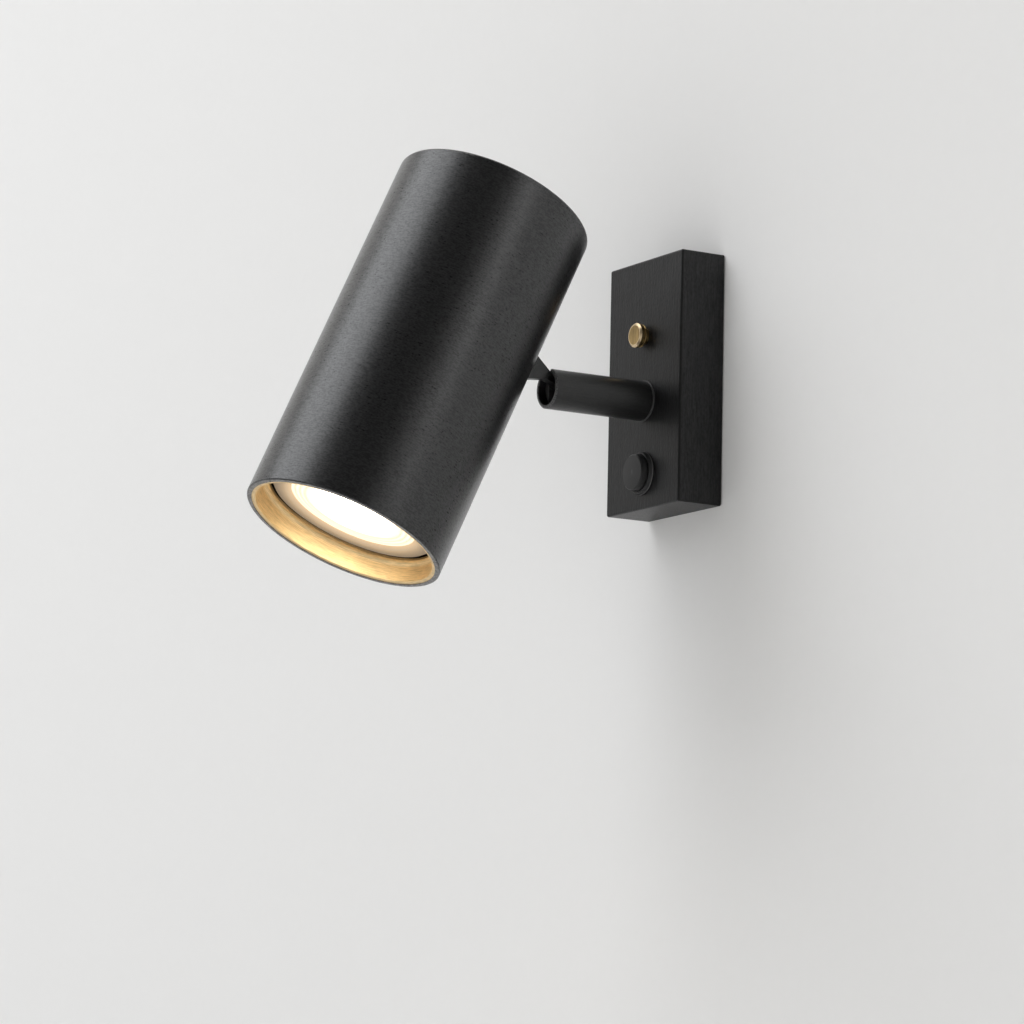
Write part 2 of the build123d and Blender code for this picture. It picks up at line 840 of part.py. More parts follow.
flange_height = 1.65
flange_side = 0.5
flange_taper = 0.4
recess_step = 0.35
button_gap = 0.2
bush_length = 4.0
recess_floor = cover_depth + recess_step
recess_radius = button_radius + button_gap
bush_end = cover_depth - bush_length
body_end = 5.5
body_radius = 5.0
plunger_radius = 1.5
spring_pocket_depth = 2.4
spring_seat = cover_depth - spring_pocket_depth
spring_chamber = 3.6
plunger_bore_end = 7.2

with BuildPart() as switch_body:
    with BuildSketch(section(switch_height)):
        with BuildLine():
            flange_face = cover_depth + flange_height
            bore = plunger_radius + running_clearance
            Polyline(
                (body_end, 0),
                (body_end, body_radius),
                (bush_end, body_radius),
                (bush_end, switch_bush_radius),
                (cover_depth, switch_bush_radius),
                (cover_depth, switch_flange_radius),
                (cover_depth + flange_side, switch_flange_radius),
                (flange_face, switch_flange_radius - flange_taper),
                (flange_face, recess_radius),
                (recess_floor, recess_radius),
                (recess_floor, spring_chamber),
                (spring_seat, spring_chamber),
                (spring_seat, bore),
                (plunger_bore_end, bore),
                (plunger_bore_end, 0),
                close=True,
            )
        make_face()
    revolve(axis=out_axis(switch_height))
save(switch_body, "switch_body")

switch_nut_flats = 14.0
switch_nut_thickness = 2.0
switch_nut = hex_nut(front(inner_depth), 0, switch_height, switch_nut_flats, switch_bush_radius,
                     -switch_nut_thickness)
save(switch_nut, "switch_nut")

terminal_pitch = 4.6
tag_thickness = 0.6
tag_width = 2.4
tag_length = 1.6

with BuildPart() as switch_terminals:
    with BuildSketch(front(body_end)):
        with Locations((0, switch_height)):
            with GridLocations(terminal_pitch, 0, 2, 1):
                Rectangle(tag_thickness, tag_width)
    extrude(amount=-tag_length)
save(switch_terminals, "switch_terminals")

travel_reserve = 0.1
cap_edge = 0.55
cap_skirt_height = 0.7
cap_taper = 0.15
plunger_seat_depth = 1.0
plunger_end_gap = 0.3
cap_back = recess_floor + button_travel + travel_reserve
cap_face = cover_depth + button_proud
cap_shoulder = cap_face - cap_edge
cap_skirt = cap_back + cap_skirt_height
plunger_seat = cap_back + plunger_seat_depth
dome = 0.25

with BuildPart() as push_button:
    with BuildSketch(section(switch_height)):
        with BuildLine():
            Polyline(
                (cap_face, 0),
                (plunger_seat, 0),
                (plunger_seat, plunger_radius),
                (cap_back, plunger_radius),
                (cap_back, button_radius),
                (cap_skirt, button_radius),
                (cap_shoulder, button_radius - cap_taper),
                (cap_face - dome, button_face_radius),
            )
            RadiusArc((cap_face - dome, button_face_radius), (cap_face, 0),
                      (button_face_radius**2 + dome**2) / (2 * dome))
        make_face()
    revolve(axis=out_axis(switch_height))
save(push_button, "push_button")

plunger_start = plunger_bore_end + button_travel + plunger_end_gap

with BuildPart() as button_plunger:
    with BuildSketch(front(plunger_start)):
        with Locations((0, switch_height)):
            Circle(plunger_radius)
    extrude(amount=plunger_seat - plunger_start)
save(button_plunger, "button_plunger")

spring_wire = 0.45
spring_radius = 2.6
spring_turns = 3
spring_end_gap = 0.6 * spring_wire
spring_length = cap_back - spring_seat - 2 * spring_end_gap

with BuildPart() as button_spring:
    with BuildLine():
        coil = Helix(spring_length / spring_turns, spring_length, spring_radius,
                     center=(0, -spring_seat - spring_end_gap, switch_height), direction=(0, -1, 0))
    with BuildSketch(Plane(origin=coil @ 0, z_dir=coil % 0)):
        Rectangle(spring_wire, spring_wire)
    sweep(path=coil, is_frenet=True)
save(button_spring, "button_spring")

# ---- terminal block and earth screw ------------------------------------------------------------------------

block_floor = bracket_sheet
block_top = block_floor + block_depth
insert_size = 3.8
insert_bore = 1.3
insert_rise = 4.2
insert_inset = 0.5
insert_level = block_floor + insert_rise
clamp_seat = insert_level + insert_size / 2
clamp_height = 2.2
clamp_radius = 1.2
clamp_clearance = 0.1
clamp_inset = 2.2
clamp_spread = block_width / 2 - clamp_inset
block_groove = 0.9
block_screw_head = 2.0
block_screw_head_height = 1.4
block_screw_head_clearance = 0.2
well_rise = 0.1
block_screw_seat = clamp_seat + well_rise
pole_heights = [block_place[1] + block_pitch * (pole - (block_poles - 1) / 2) for pole in range(block_poles)]


def across_plane(x):
    """Plane square to +X, whose x is +Y and whose y is +Z."""
    return Plane.YZ.offset(x)


with BuildPart() as terminal_block:
    with BuildSketch(front(block_floor)):
        with Locations(block_place):
            Rectangle(block_width, block_length)
    extrude(amount=block_depth)
    # grooves that part the poles
    with BuildSketch(front(block_top)):
        with Locations(block_place):
            with GridLocations(0, block_pitch, 1, block_poles - 1):
                Rectangle(block_width, block_groove)
    extrude(amount=-block_depth / 2, mode=Mode.SUBTRACT)
    # wire ways through each pole
    with BuildSketch(across_plane(block_place[0] - block_width / 2)):
        with Locations([(-insert_level, height) for height in pole_heights]):
            Rectangle(insert_size, insert_size)
    extrude(amount=block_width, mode=Mode.SUBTRACT)
    # screw wells
    with BuildSketch(front(block_top)):
        with Locations(block_place):
            with GridLocations(2 * clamp_spread, block_pitch, 2, block_poles):
                Circle(clamp_radius + clamp_clearance)
    extrude(amount=-(block_top - clamp_seat), mode=Mode.SUBTRACT)
    # fixing hole between the first two poles, with a well for the screw's head above the wire ways
    with BuildSketch(front(block_top)):
        with Locations(block_screw_place):
            Circle(block_screw_radius)
    extrude(amount=-block_depth, mode=Mode.SUBTRACT)
    with BuildSketch(front(block_screw_seat)):
        with Locations(block_screw_place):
            Circle(block_screw_head + block_screw_head_clearance)
    extrude(amount=block_top - block_screw_seat, mode=Mode.SUBTRACT)
save(terminal_block, "terminal_block")

with BuildPart() as terminal_inserts:
    with BuildSketch(across_plane(block_place[0] - block_width / 2 + insert_inset)):
        with Locations([(-insert_level, height) for height in pole_heights]):
            Rectangle(insert_size, insert_size)
            Circle(insert_bore, mode=Mode.SUBTRACT)
    extrude(amount=block_width - 2 * insert_inset)
save(terminal_inserts, "terminal_inserts")

with BuildPart() as terminal_screws:
    with BuildSketch(front(clamp_seat)):
        with Locations(block_place):
            with GridLocations(2 * clamp_spread, block_pitch, 2, block_poles):
                Circle(clamp_radius)
    extrude(amount=clamp_height)
save(terminal_screws, "terminal_screws")

with BuildPart() as block_screw:
    with BuildSketch(front(screw_tip)):
        with Locations(block_screw_place):
            Circle(block_screw_radius)
    extrude(amount=block_screw_seat - screw_tip)
    with BuildSketch(front(block_screw_seat)):
        with Locations(block_screw_place):
            Circle(block_screw_head)
    extrude(amount=block_screw_head_height)
save(block_screw, "block_screw")

earth_washer_thickness = 0.8
earth_washer_radius = 4.2
earth_head_radius = 3.6
earth_head_height = 2.4
earth_head_edge = 0.7
earth_slot_width = 0.9
earth_slot_depth = 1.0
earth_seat = bracket_sheet + earth_washer_thickness
earth_washer = ring(front(bracket_sheet), earth_place[0], earth_place[1], earth_washer_radius,
                    earth_thread_radius, earth_washer_thickness)
save(earth_washer, "earth_washer")

with BuildPart() as earth_screw:
    with BuildSketch(front(screw_tip)):
        with Locations(earth_place):
            Circle(earth_thread_radius)
    extrude(amount=earth_seat - screw_tip)
    with BuildSketch(front(earth_seat)):
        with Locations(earth_place):
            Circle(earth_head_radius)
    extrude(amount=earth_head_height)
    chamfer(earth_screw.edges().sort_by(Axis.Y)[0], earth_head_edge)
    with BuildSketch(front(earth_seat + earth_head_height)):
        with Locations(earth_place):
            Rectangle(earth_slot_width, 2 * earth_head_radius)
    extrude(amount=-earth_slot_depth, mode=Mode.SUBTRACT)
save(earth_screw, "earth_screw")
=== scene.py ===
import json
from math import cos, pi, radians, sin

import bmesh
import bpy
from bpy.props import FloatProperty, FloatVectorProperty, IntProperty, PointerProperty
from mathutils import Euler, Matrix, Vector


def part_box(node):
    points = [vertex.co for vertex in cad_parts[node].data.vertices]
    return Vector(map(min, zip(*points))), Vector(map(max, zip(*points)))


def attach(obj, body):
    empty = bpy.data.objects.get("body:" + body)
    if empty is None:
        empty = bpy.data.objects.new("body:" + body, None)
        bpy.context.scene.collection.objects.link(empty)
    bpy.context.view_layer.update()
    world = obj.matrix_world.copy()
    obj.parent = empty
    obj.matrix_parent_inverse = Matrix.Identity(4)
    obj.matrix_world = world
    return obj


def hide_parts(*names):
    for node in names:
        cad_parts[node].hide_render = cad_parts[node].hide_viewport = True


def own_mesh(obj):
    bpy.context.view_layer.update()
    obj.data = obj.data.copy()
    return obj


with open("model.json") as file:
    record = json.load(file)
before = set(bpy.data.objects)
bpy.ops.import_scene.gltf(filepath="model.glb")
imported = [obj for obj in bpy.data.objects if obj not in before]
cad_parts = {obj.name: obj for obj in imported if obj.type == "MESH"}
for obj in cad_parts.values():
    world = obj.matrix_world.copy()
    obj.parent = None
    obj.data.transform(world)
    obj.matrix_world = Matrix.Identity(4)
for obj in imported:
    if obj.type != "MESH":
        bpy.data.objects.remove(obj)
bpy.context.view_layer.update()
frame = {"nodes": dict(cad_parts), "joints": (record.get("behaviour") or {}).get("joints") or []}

bl_info = {
    "name": "Pivoting spotlight",
    "version": (1, 0, 0),
    "blender": (4, 5, 0),
    "location": "3D View > Sidebar > Spotlight",
    "description": "Finishes and turned pieces of a pivoting spotlight for a wall, around its packed model",
    "category": "Object",
}

MM = 0.001

# ---- places, from the frame's joints and boxes ----

ORIGIN = (0, 0, 0)
UNTURNED = (0, 0, 0)
JOINTS = {joint["name"]: joint for joint in frame["joints"]}
REST_TILT = radians(24.85)
PIVOT = Vector(JOINTS["head_tilt"]["pos_m"])
# how far the head's axis lies in front of the pivot, and its mouth below it
PIVOT_REACH = 47.0 * MM
PIVOT_LEVEL = 76.8 * MM
HEAD_UP = Vector((0, sin(REST_TILT), cos(REST_TILT)))
HEAD_BACK = Vector((0, cos(REST_TILT), -sin(REST_TILT)))
MOUTH = PIVOT - HEAD_BACK * PIVOT_REACH - HEAD_UP * PIVOT_LEVEL
HEAD_TURN = Euler((-REST_TILT, 0, 0))
OUT_TURN = Euler((pi / 2, 0, 0))


def middle(node):
    """Centre of a node's box at rest."""
    low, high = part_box(node)
    return (low + high) / 2


ARM_AXIS = Vector((0, 0, PIVOT.z))
SWITCH_AXIS = Vector((0, 0, middle("switch_body").z))
SCREW_AXIS = Vector((0, 0, middle("cover_screw").z))
COVER_FACE = -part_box("wall_cover")[0].y


# ---- node trees ----


class Wire:
    """An output socket that takes part in Python sums, each of which adds a Math node."""

    def __init__(self, nodes, socket):
        self.nodes = nodes
        self.socket = socket

    def sum(self, operation, first, second):
        return self.nodes.math(operation, first, second)

    def __add__(self, other):
        return self.sum("ADD", self, other)

    def __radd__(self, other):
        return self.sum("ADD", other, self)

    def __sub__(self, other):
        return self.sum("SUBTRACT", self, other)

    def __rsub__(self, other):
        return self.sum("SUBTRACT", other, self)

    def __mul__(self, other):
        return self.sum("MULTIPLY", self, other)

    def __rmul__(self, other):
        return self.sum("MULTIPLY", other, self)

    def __truediv__(self, other):
        return self.sum("DIVIDE", self, other)

    def __rtruediv__(self, other):
        return self.sum("DIVIDE", other, self)


class Nodes:
    """A shader or geometry tree that is being built."""

    def __init__(self, tree):
        self.tree = tree

    def add(self, kind, values=None, out=0, **settings):
        """Add a node, set its settings and then its sockets, and return one of its outputs."""
        node = self.tree.nodes.new(kind)
        for name, value in settings.items():
            if name == "stops":
                self.fill_ramp(node.color_ramp, value)
            else:
                setattr(node, name, value)
        for name, value in (values or {}).items():
            if isinstance(value, Wire):
                self.tree.links.new(value.socket, node.inputs[name])
            else:
                node.inputs[name].default_value = value
        return Wire(self, node.outputs[out]) if node.outputs else None

    @staticmethod
    def fill_ramp(ramp, stops):
        """Replace a colour ramp's stops with (position, colour) pairs."""
        while len(ramp.elements) > 1:
            ramp.elements.remove(ramp.elements[-1])
        ramp.elements[0].position = stops[0][0]
        for position, _colour in stops[1:]:
            ramp.elements.new(position)
        for element, (position, colour) in zip(ramp.elements, stops):
            element.position = position
            element.color = (*colour, 1)

    def find(self, wire, name):
        """Another output of the node that a wire comes from."""
        return Wire(self, wire.socket.node.outputs[name])

    def math(self, operation, *values):
        return self.add("ShaderNodeMath", dict(enumerate(values)), operation=operation)

    def split(self, vector):
        """The three parts of a vector."""
        parts = self.add("ShaderNodeSeparateXYZ", {"Vector": vector})
        return [self.find(parts, name) for name in "XYZ"]

    def stretch(self, value, low, high, new_low=0.0, new_high=1.0, **settings):
        """Move a value from one range to another, held at its ends."""
        values = {"Value": value, "From Min": low, "From Max": high, "To Min": new_low, "To Max": new_high}
        return self.add("ShaderNodeMapRange", values, **settings)


class Finish(Nodes):
    """A material with one Principled shader. All lengths of its patterns are in millimetres."""

    def __init__(self, name):
        self.material = bpy.data.materials.new(name)
        self.material.use_nodes = True
        super().__init__(self.material.node_tree)
        self.tree.nodes.clear()

    def place(self, origin, turn, lengths):
        """Object coordinates measured from a place on the object, in lengths of the pattern."""
        position = self.add("ShaderNodeTexCoord")
        values = {
            "Vector": self.find(position, "Object"),
            "Location": origin,
            "Rotation": turn,
            "Scale": [length * MM for length in lengths],
        }
        return self.add("ShaderNodeMapping", values, vector_type="TEXTURE")

    def polar(self, origin, turn):
        """Radius and level of a turned piece's points, in millimetres."""
        across, along, level = self.split(self.place(origin, turn, (1, 1, 1)))
        return self.math("SQRT", across * across + along * along), level

    def noise(self, vector, detail=2.0, roughness=0.5, distortion=0.0):
        """Noise about one unit across, from 0 to 1."""
        values = {
            "Vector": vector,
            "Scale": 1.0,
            "Detail": detail,
            "Roughness": roughness,
            "Distortion": distortion,
        }
        return self.add("ShaderNodeTexNoise", values)

    def even_noise(self, length, detail=2.0, roughness=0.5, origin=ORIGIN, turn=UNTURNED):
        """Noise that is equally long in every direction."""
        return self.noise(self.place(origin, turn, (length, length, length)), detail, roughness)

    def ramp(self, factor, *stops):
        return self.add("ShaderNodeValToRGB", {"Fac": factor}, stops=stops)

    def mix(self, factor, first, second):
        values = {0: factor, 6: opaque(first), 7: opaque(second)}
        return self.add("ShaderNodeMix", values, out=2, data_type="RGBA")

    def bump(self, height, strength, distance):
        values = {"Height": height, "Strength": strength, "Distance": distance * MM}
        return self.add("ShaderNodeBump", values)

    def surface(self, **values):
        """Close the material. Names are the shader's own, with _ for a space."""
        named = {name.replace("_", " "): value for name, value in values.items()}
        for name in ("Base Color", "Emission Color"):
            if name in named:
                named[name] = opaque(named[name])
        shader = self.add("ShaderNodeBsdfPrincipled", named)
        self.add("ShaderNodeOutputMaterial", {"Surface": shader})
        return self.material


def opaque(colour):
    """A colour socket takes four numbers."""
    return colour if isinstance(colour, Wire) else (*colour[:3], 1.0)


# ---- finishes ----

# most of a noise lies between these two values
NOISE_LOW, NOISE_HIGH = 0.35, 0.65
# length of the peel of moulded plastic, its height, and how far it changes the roughness
PEEL = 0.6
PEEL_DEPTH = 0.04
PEEL_SWING = 0.1
# width of a mask's soft ends
MASK_SOFT = 0.08
# shares of the lens's radius: the hot middle, the warm ring, the first raised ring, and the grooves
LENS_HOT, LENS_WARM, LENS_RINGS = 0.4, 0.6, 0.72
LENS_GROOVES = (0.78, 0.86, 0.94)
GROOVE_FLOOR, GROOVE_MOUTH = 0.01, 0.03


def lighter(colour, share):
    """A colour moved towards white by a share."""
    return [part + (1 - part) * share for part in colour]


def darker(colour, share):
    """A colour moved towards black by a share."""
    return [part * (1 - share) for part in colour]


def coated(
    name, colour, origin, turn, *, stroke, pebble, depth, contrast, roughness, specular, edges, edge_colour,
    skin=0.0,
):
    """Thin satin coat over metal: strokes and fine pebbles break its gloss, and its edges differ.

    Stroke and pebble are the lengths of the patterns along the three ways of the piece's own frame, depth
    is the grain's height and contrast the share by which its colour changes. Skin is the mean weight of a
    clear skin, which is thicker on the grain's tops.
    """
    stroke_share, cloud_share = 0.6, 0.2
    gloss_swing, skin_swing = 0.06, 0.45
    finish = Finish(name)
    strokes = finish.noise(finish.place(origin, turn, stroke), detail=1.0, distortion=0.3)
    pebbles = finish.noise(finish.place(origin, turn, pebble), detail=0.0)
    clouds = finish.even_noise(18, origin=origin, turn=turn)
    grain = strokes * stroke_share + pebbles * (1 - stroke_share)
    tone = finish.stretch(grain * (1 - cloud_share) + clouds * cloud_share, NOISE_LOW, NOISE_HIGH)
    coat = finish.mix(tone, darker(colour, contrast), [(1 + contrast) * part for part in colour])
    gloss = finish.stretch(grain, 0.3, 0.7, roughness - gloss_swing, roughness + gloss_swing)
    # under the edge mask the edge colour takes the coat's place: a painted highlight on the head's rim, a
    # lighter ring at the tube's mouth and darker edges on the cover
    edge = edges(finish) * finish.stretch(grain, 0.4, 0.55, 0.35, 1.0)
    clear = {}
    if skin:
        thin, thick = (1 - skin_swing) * skin, (1 + skin_swing) * skin
        clear["Coat_Weight"] = finish.stretch(grain, 0.41, 0.59, thin, thick)
        clear["Coat_Roughness"] = roughness
    return finish.surface(
        Base_Color=finish.mix(edge, coat, edge_colour),
        Roughness=gloss + clouds * gloss_swing - gloss_swing / 2,
        Normal=finish.bump(grain, 1.0, depth),
        Specular_IOR_Level=specular,
        **clear,
    )


def ring_mask(finish, origin, turn, *, inner, outer, low, high):
    """1 between two radii and two levels of a turned piece, in millimetres, with soft ends."""
    radius, level = finish.polar(origin, turn)
    outside = finish.stretch(radius, inner - MASK_SOFT, inner)
    inside = finish.stretch(radius, outer, outer + MASK_SOFT, 1.0, 0.0)
    above = finish.stretch(level, low - MASK_SOFT, low)
    below = finish.stretch(level, high, high + MASK_SOFT, 1.0, 0.0)
    return outside * inside * (above * below)


def moulded_plastic(name, colour, roughness, painted_highlight=None):
    """Moulded plastic with a faint orange peel, paler where a mask paints a highlight."""
    finish = Finish(name)
    peel = finish.even_noise(PEEL)
    clouds = finish.even_noise(6)
    base = finish.mix(finish.stretch(clouds, 0.3, 0.7), darker(colour, 0.15), colour)
    if painted_highlight:
        base = finish.mix(painted_highlight(finish), base, lighter(colour, 0.11))
    return finish.surface(
        Base_Color=base,
        Roughness=peel * PEEL_SWING + (roughness - PEEL_SWING / 2),
        Normal=finish.bump(peel, 0.3, PEEL_DEPTH),
    )


def brushed_metal(name, colour, origin, turn, *, stroke, roughness, depth=0.05, shade=0.3, painted_highlight=None):
    """Bare or plated metal with brushing or turning marks, paler where a mask paints a highlight.

    Stroke is the marks' length along the three ways of the piece's own frame, depth their height, and
    shade the share by which they darken the colour.
    """
    cloud_share, gloss_swing = 0.25, 0.2
    finish = Finish(name)
    streaks = finish.noise(finish.place(origin, turn, stroke), detail=4.0, roughness=0.65)
    clouds = finish.even_noise(9, origin=origin, turn=turn)
    tone = finish.stretch(streaks * (1 - cloud_share) + clouds * cloud_share, NOISE_LOW, NOISE_HIGH)
    base = finish.mix(tone, darker(colour, shade), colour)
    if painted_highlight:
        base = finish.mix(painted_highlight(finish), base, lighter([1.3 * part for part in colour], 0.2))
    return finish.surface(
        Base_Color=base,
        Metallic=1.0,
        Roughness=streaks * gloss_swing + (roughness - gloss_swing / 2),
        Normal=finish.bump(streaks, 0.4, depth),
    )


def pressed_ceramic(name, colour):
    """Unglazed pressed ceramic."""
    finish = Finish(name)
    grain = finish.even_noise(0.4, detail=3.0, roughness=0.7)
    return finish.surface(
        Base_Color=finish.mix(grain, darker(colour, 0.2), colour),
        Roughness=grain * 0.2 + 0.6,
        Normal=finish.bump(grain, 0.4, 0.05),
    )


def plastic_with_painted_glow(name, colour, glow, inner, outer):
    """Plastic round the lens, with a painted glow that stands for the lens's light spreading into it between
    two radii in millimetres.
    """
    # levels above the mouth, in millimetres, where the painted glow starts to fade and where it is gone
    lit_to, dark_from = 7.6, 8.4
    finish = Finish(name)
    peel = finish.even_noise(PEEL)
    clouds = finish.even_noise(5)
    radius, level = finish.polar(MOUTH, HEAD_TURN)
    spread = finish.stretch(radius, inner, outer, 1.0, 0.2)
    spread = spread * spread * finish.stretch(level, lit_to, dark_from, 1.0, 0.0)
    return finish.surface(
        Base_Color=finish.mix(clouds, darker(colour, 0.15), colour),
        Roughness=peel * PEEL_SWING + 0.4,
        Normal=finish.bump(peel, 0.3, PEEL_DEPTH),
        Emission_Color=finish.mix(spread, (0.0, 0.0, 0.0), glow),
        Emission_Strength=1.0,
    )


def lit_lens(name, hot, edge, strength, radius):
    """Frosted lens that is brightest in the middle and fades in rings towards its edge."""
    finish = Finish(name)
    across, _level = finish.polar(MOUTH, HEAD_TURN)
    dim = darker(edge, 0.5)
    stops = [(0.0, hot), (LENS_HOT, hot), (LENS_WARM, lighter(edge, 0.25)), (LENS_RINGS, edge)]
    sides = ((-GROOVE_MOUTH, edge), (-GROOVE_FLOOR, dim), (GROOVE_FLOOR, dim), (GROOVE_MOUTH, edge))
    for groove in LENS_GROOVES:
        stops += [(groove + away, glow) for away, glow in sides]
    stops += [(1.0, dim)]
    return finish.surface(
        Base_Color=(0.8, 0.74, 0.62),
        Roughness=0.3,
        Emission_Color=finish.ramp(across / radius, *stops),
        Emission_Strength=strength,
    )


# ---- turned pieces ----

# a thread is (radius, pitch, depth) and a slot is (width, level of its floor), in millimetres
NO_THREAD = (-1.0, 1.0, 0.0)
NO_SLOT = (0.0, 0.0)
# rows of points in each turn of a thread
THREAD_STEPS = 6
# a point is on the thread within this distance of its radius, and points this near each other are one
THREAD_REACH = 0.01 * MM
WELD = 0.002 * MM
# size of the block that cuts a slot, past the largest head
CUTTER = 50 * MM
SHARP_ANGLE = radians(32)
COIL_STEPS = 32
WIRE_SIDES = 10


def open_tree(name, inputs):
    """A geometry tree with one geometry output, and a wire from each of its named inputs."""
    tree = bpy.data.node_groups.new(name, "GeometryNodeTree")
    for title, kind in inputs.items():
        tree.interface.new_socket(title, in_out="INPUT", socket_type="NodeSocket" + kind)
    tree.interface.new_socket("Geometry", in_out="OUTPUT", socket_type="NodeSocketGeometry")
    nodes = Nodes(tree)
    start = nodes.add("NodeGroupInput")
    return nodes, {title: nodes.find(start, title) for title in inputs}


def close_tree(nodes, shape, material):
    """Make a tree's result real, give it its material and return the tree."""
    shape = nodes.add("GeometryNodeRealizeInstances", {"Geometry": shape})
    shape = nodes.add("GeometryNodeSetMaterial", {"Geometry": shape, "Material": material})
    nodes.add("NodeGroupOutput", {"Geometry": shape})
    return nodes.tree


def turned_tree():
    """Spin a profile round its axis, cut a thread and a slot, and set a copy at each place."""
    nodes, given = open_tree(
        "turned_pieces",
        {
            "Places": "Geometry",
            "Profile": "Object",
            "Turn": "Vector",
            "Segments": "Int",
            "Thread Radius": "Float",
            "Thread Pitch": "Float",
            "Thread Depth": "Float",
            "Slot Width": "Float",
            "Slot Floor": "Float",
            "Material": "Material",
        },
    )

    # a grid of one unit about its middle, whose X is the turn and whose rows are the profile's points
    profile = nodes.add("GeometryNodeObjectInfo", {"Object": given["Profile"]})
    profile = nodes.find(profile, "Geometry")
    size = nodes.add("GeometryNodeAttributeDomainSize", {"Geometry": profile})
    rows = nodes.find(size, "Point Count")
    grid = nodes.add(
        "GeometryNodeMeshGrid",
        {"Size X": 1.0, "Size Y": 1.0, "Vertices X": given["Segments"] + 1, "Vertices Y": rows},
    )
    position = nodes.add("GeometryNodeInputPosition")
    across, along, _ = nodes.split(position)
    angle = (across + 0.5) * (2 * pi)
    row = nodes.math("ROUND", (along + 0.5) * (rows - 1))
    values = {"Geometry": profile, "Value": position, "Index": row}
    point = nodes.add("GeometryNodeSampleIndex", values, data_type="FLOAT_VECTOR")
    radius, _, level = nodes.split(point)

    # the thread's groove follows the turn and the level, on the points that lie at its radius
    turns = level / given["Thread Pitch"] - angle / (2 * pi)
    groove = nodes.math("PINGPONG", turns * 2.0, 1.0)
    on_thread = nodes.math("COMPARE", radius, given["Thread Radius"], THREAD_REACH)
    cut = radius - groove * on_thread * given["Thread Depth"]
    values = {"X": cut * nodes.math("COSINE", angle), "Y": cut * nodes.math("SINE", angle), "Z": level}
    spun = nodes.add("ShaderNodeCombineXYZ", values)
    body = nodes.add("GeometryNodeSetPosition", {"Geometry": grid, "Position": spun})
    body = nodes.add("GeometryNodeMergeByDistance", {"Geometry": body, "Distance": WELD})

    # the slot across a screw's head
    size = nodes.add("ShaderNodeCombineXYZ", {"X": given["Slot Width"], "Y": CUTTER, "Z": CUTTER})
    block = nodes.add("GeometryNodeMeshCube", {"Size": size})
    lift = nodes.add("ShaderNodeCombineXYZ", {"Z": given["Slot Floor"] + CUTTER / 2})
    block = nodes.add("GeometryNodeTransform", {"Geometry": block, "Translation": lift})
    values = {"Mesh 1": body, "Mesh 2": block}
    slotted = nodes.add("GeometryNodeMeshBoolean", values, operation="DIFFERENCE", solver="EXACT")
    wanted = nodes.add("FunctionNodeCompare", {"A": given["Slot Width"], "B": 0.0}, operation="GREATER_THAN")
    values = {"Switch": wanted, "False": body, "True": slotted}
    body = nodes.add("GeometryNodeSwitch", values, input_type="GEOMETRY")

    # smooth between flat faces, and sharp at the corners
    body = nodes.add("GeometryNodeSetShadeSmooth", {"Geometry": body, "Shade Smooth": True})
    bend = nodes.add("GeometryNodeInputMeshEdgeAngle")
    sharp = nodes.add("FunctionNodeCompare", {"A": bend, "B": SHARP_ANGLE}, operation="GREATER_THAN")
    values = {"Geometry": body, "Selection": sharp, "Shade Smooth": False}
    body = nodes.add("GeometryNodeSetShadeSmooth", values, domain="EDGE")
    values = {"Points": given["Places"], "Instance": body, "Rotation": given["Turn"]}
    copies = nodes.add("GeometryNodeInstanceOnPoints", values)
    return close_tree(nodes, copies, given["Material"])


def coil_tree():
    """Wind a wire into a coil whose two end turns lie flat."""
    nodes, given = open_tree(
        "coil",
        {
            "Radius": "Float",
            "Wire": "Float",
            "Length": "Float",
            "Turns": "Float",
            "Place": "Vector",
            "Turn": "Vector",
            "Material": "Material",
        },
    )
    spiral = nodes.add(
        "GeometryNodeCurveSpiral",
        {
            "Resolution": COIL_STEPS,
            "Rotations": given["Turns"],
            "Start Radius": given["Radius"],
            "End Radius": given["Radius"],
            "Height": given["Length"],
        },
    )

    # the climb is slow at both ends, so that the end turns lie flat
    length = given["Length"]
    across, along, height = nodes.split(nodes.add("GeometryNodeInputPosition"))
    climb = nodes.stretch(height, 0.0, length, 0.0, length, interpolation_type="SMOOTHSTEP")
    level = nodes.add("ShaderNodeCombineXYZ", {"X": across, "Y": along, "Z": climb})
    spiral = nodes.add("GeometryNodeSetPosition", {"Geometry": spiral, "Position": level})
    values = {"Resolution": WIRE_SIDES, "Radius": given["Wire"] / 2}
    ring = nodes.add("GeometryNodeCurvePrimitiveCircle", values)
    values = {"Curve": spiral, "Profile Curve": ring, "Fill Caps": True}
    wire = nodes.add("GeometryNodeCurveToMesh", values)
    values = {"Geometry": wire, "Translation": given["Place"], "Rotation": given["Turn"]}
    wire = nodes.add("GeometryNodeTransform", values)
    wire = nodes.add("GeometryNodeSetShadeSmooth", {"Geometry": wire, "Shade Smooth": True})
    return close_tree(nodes, wire, given["Material"])


def new_object(name, data):
    """An object in the scene."""
    made = bpy.data.objects.new(name, data)
    bpy.context.scene.collection.objects.link(made)
    return made


def bake(name, holder, tree, values):
    """Run a tree on a holder object and return its result as a plain object at the origin."""
    modifier = holder.modifiers.new(name, "NODES")
    modifier.node_group = tree
    for item in tree.interface.items_tree:
        if item.in_out == "INPUT" and item.name in values:
            modifier[item.identifier] = values[item.name]
    bpy.context.view_layer.update()
    result = holder.evaluated_get(bpy.context.evaluated_depsgraph_get())
    mesh = bpy.data.meshes.new_from_object(result)
    mesh.name = name
    bpy.data.objects.remove(holder)
    outward = bmesh.new()
    outward.from_mesh(mesh)
    bmesh.ops.recalc_face_normals(outward, faces=outward.faces)
    outward.to_mesh(mesh)
    outward.free()
    if not mesh.polygons:
        raise RuntimeError(f"{name} has no faces")
    return new_object(name, mesh)


def points_object(name, points, joined=False):
    """An object whose vertices are the given points, with an edge from each to the next if joined."""
    mesh = bpy.data.meshes.new(name)
    edges = [(index, index + 1) for index in range(len(points) - 1)] if joined else []
    mesh.from_pydata(points, edges, [])
    return new_object(name, mesh)


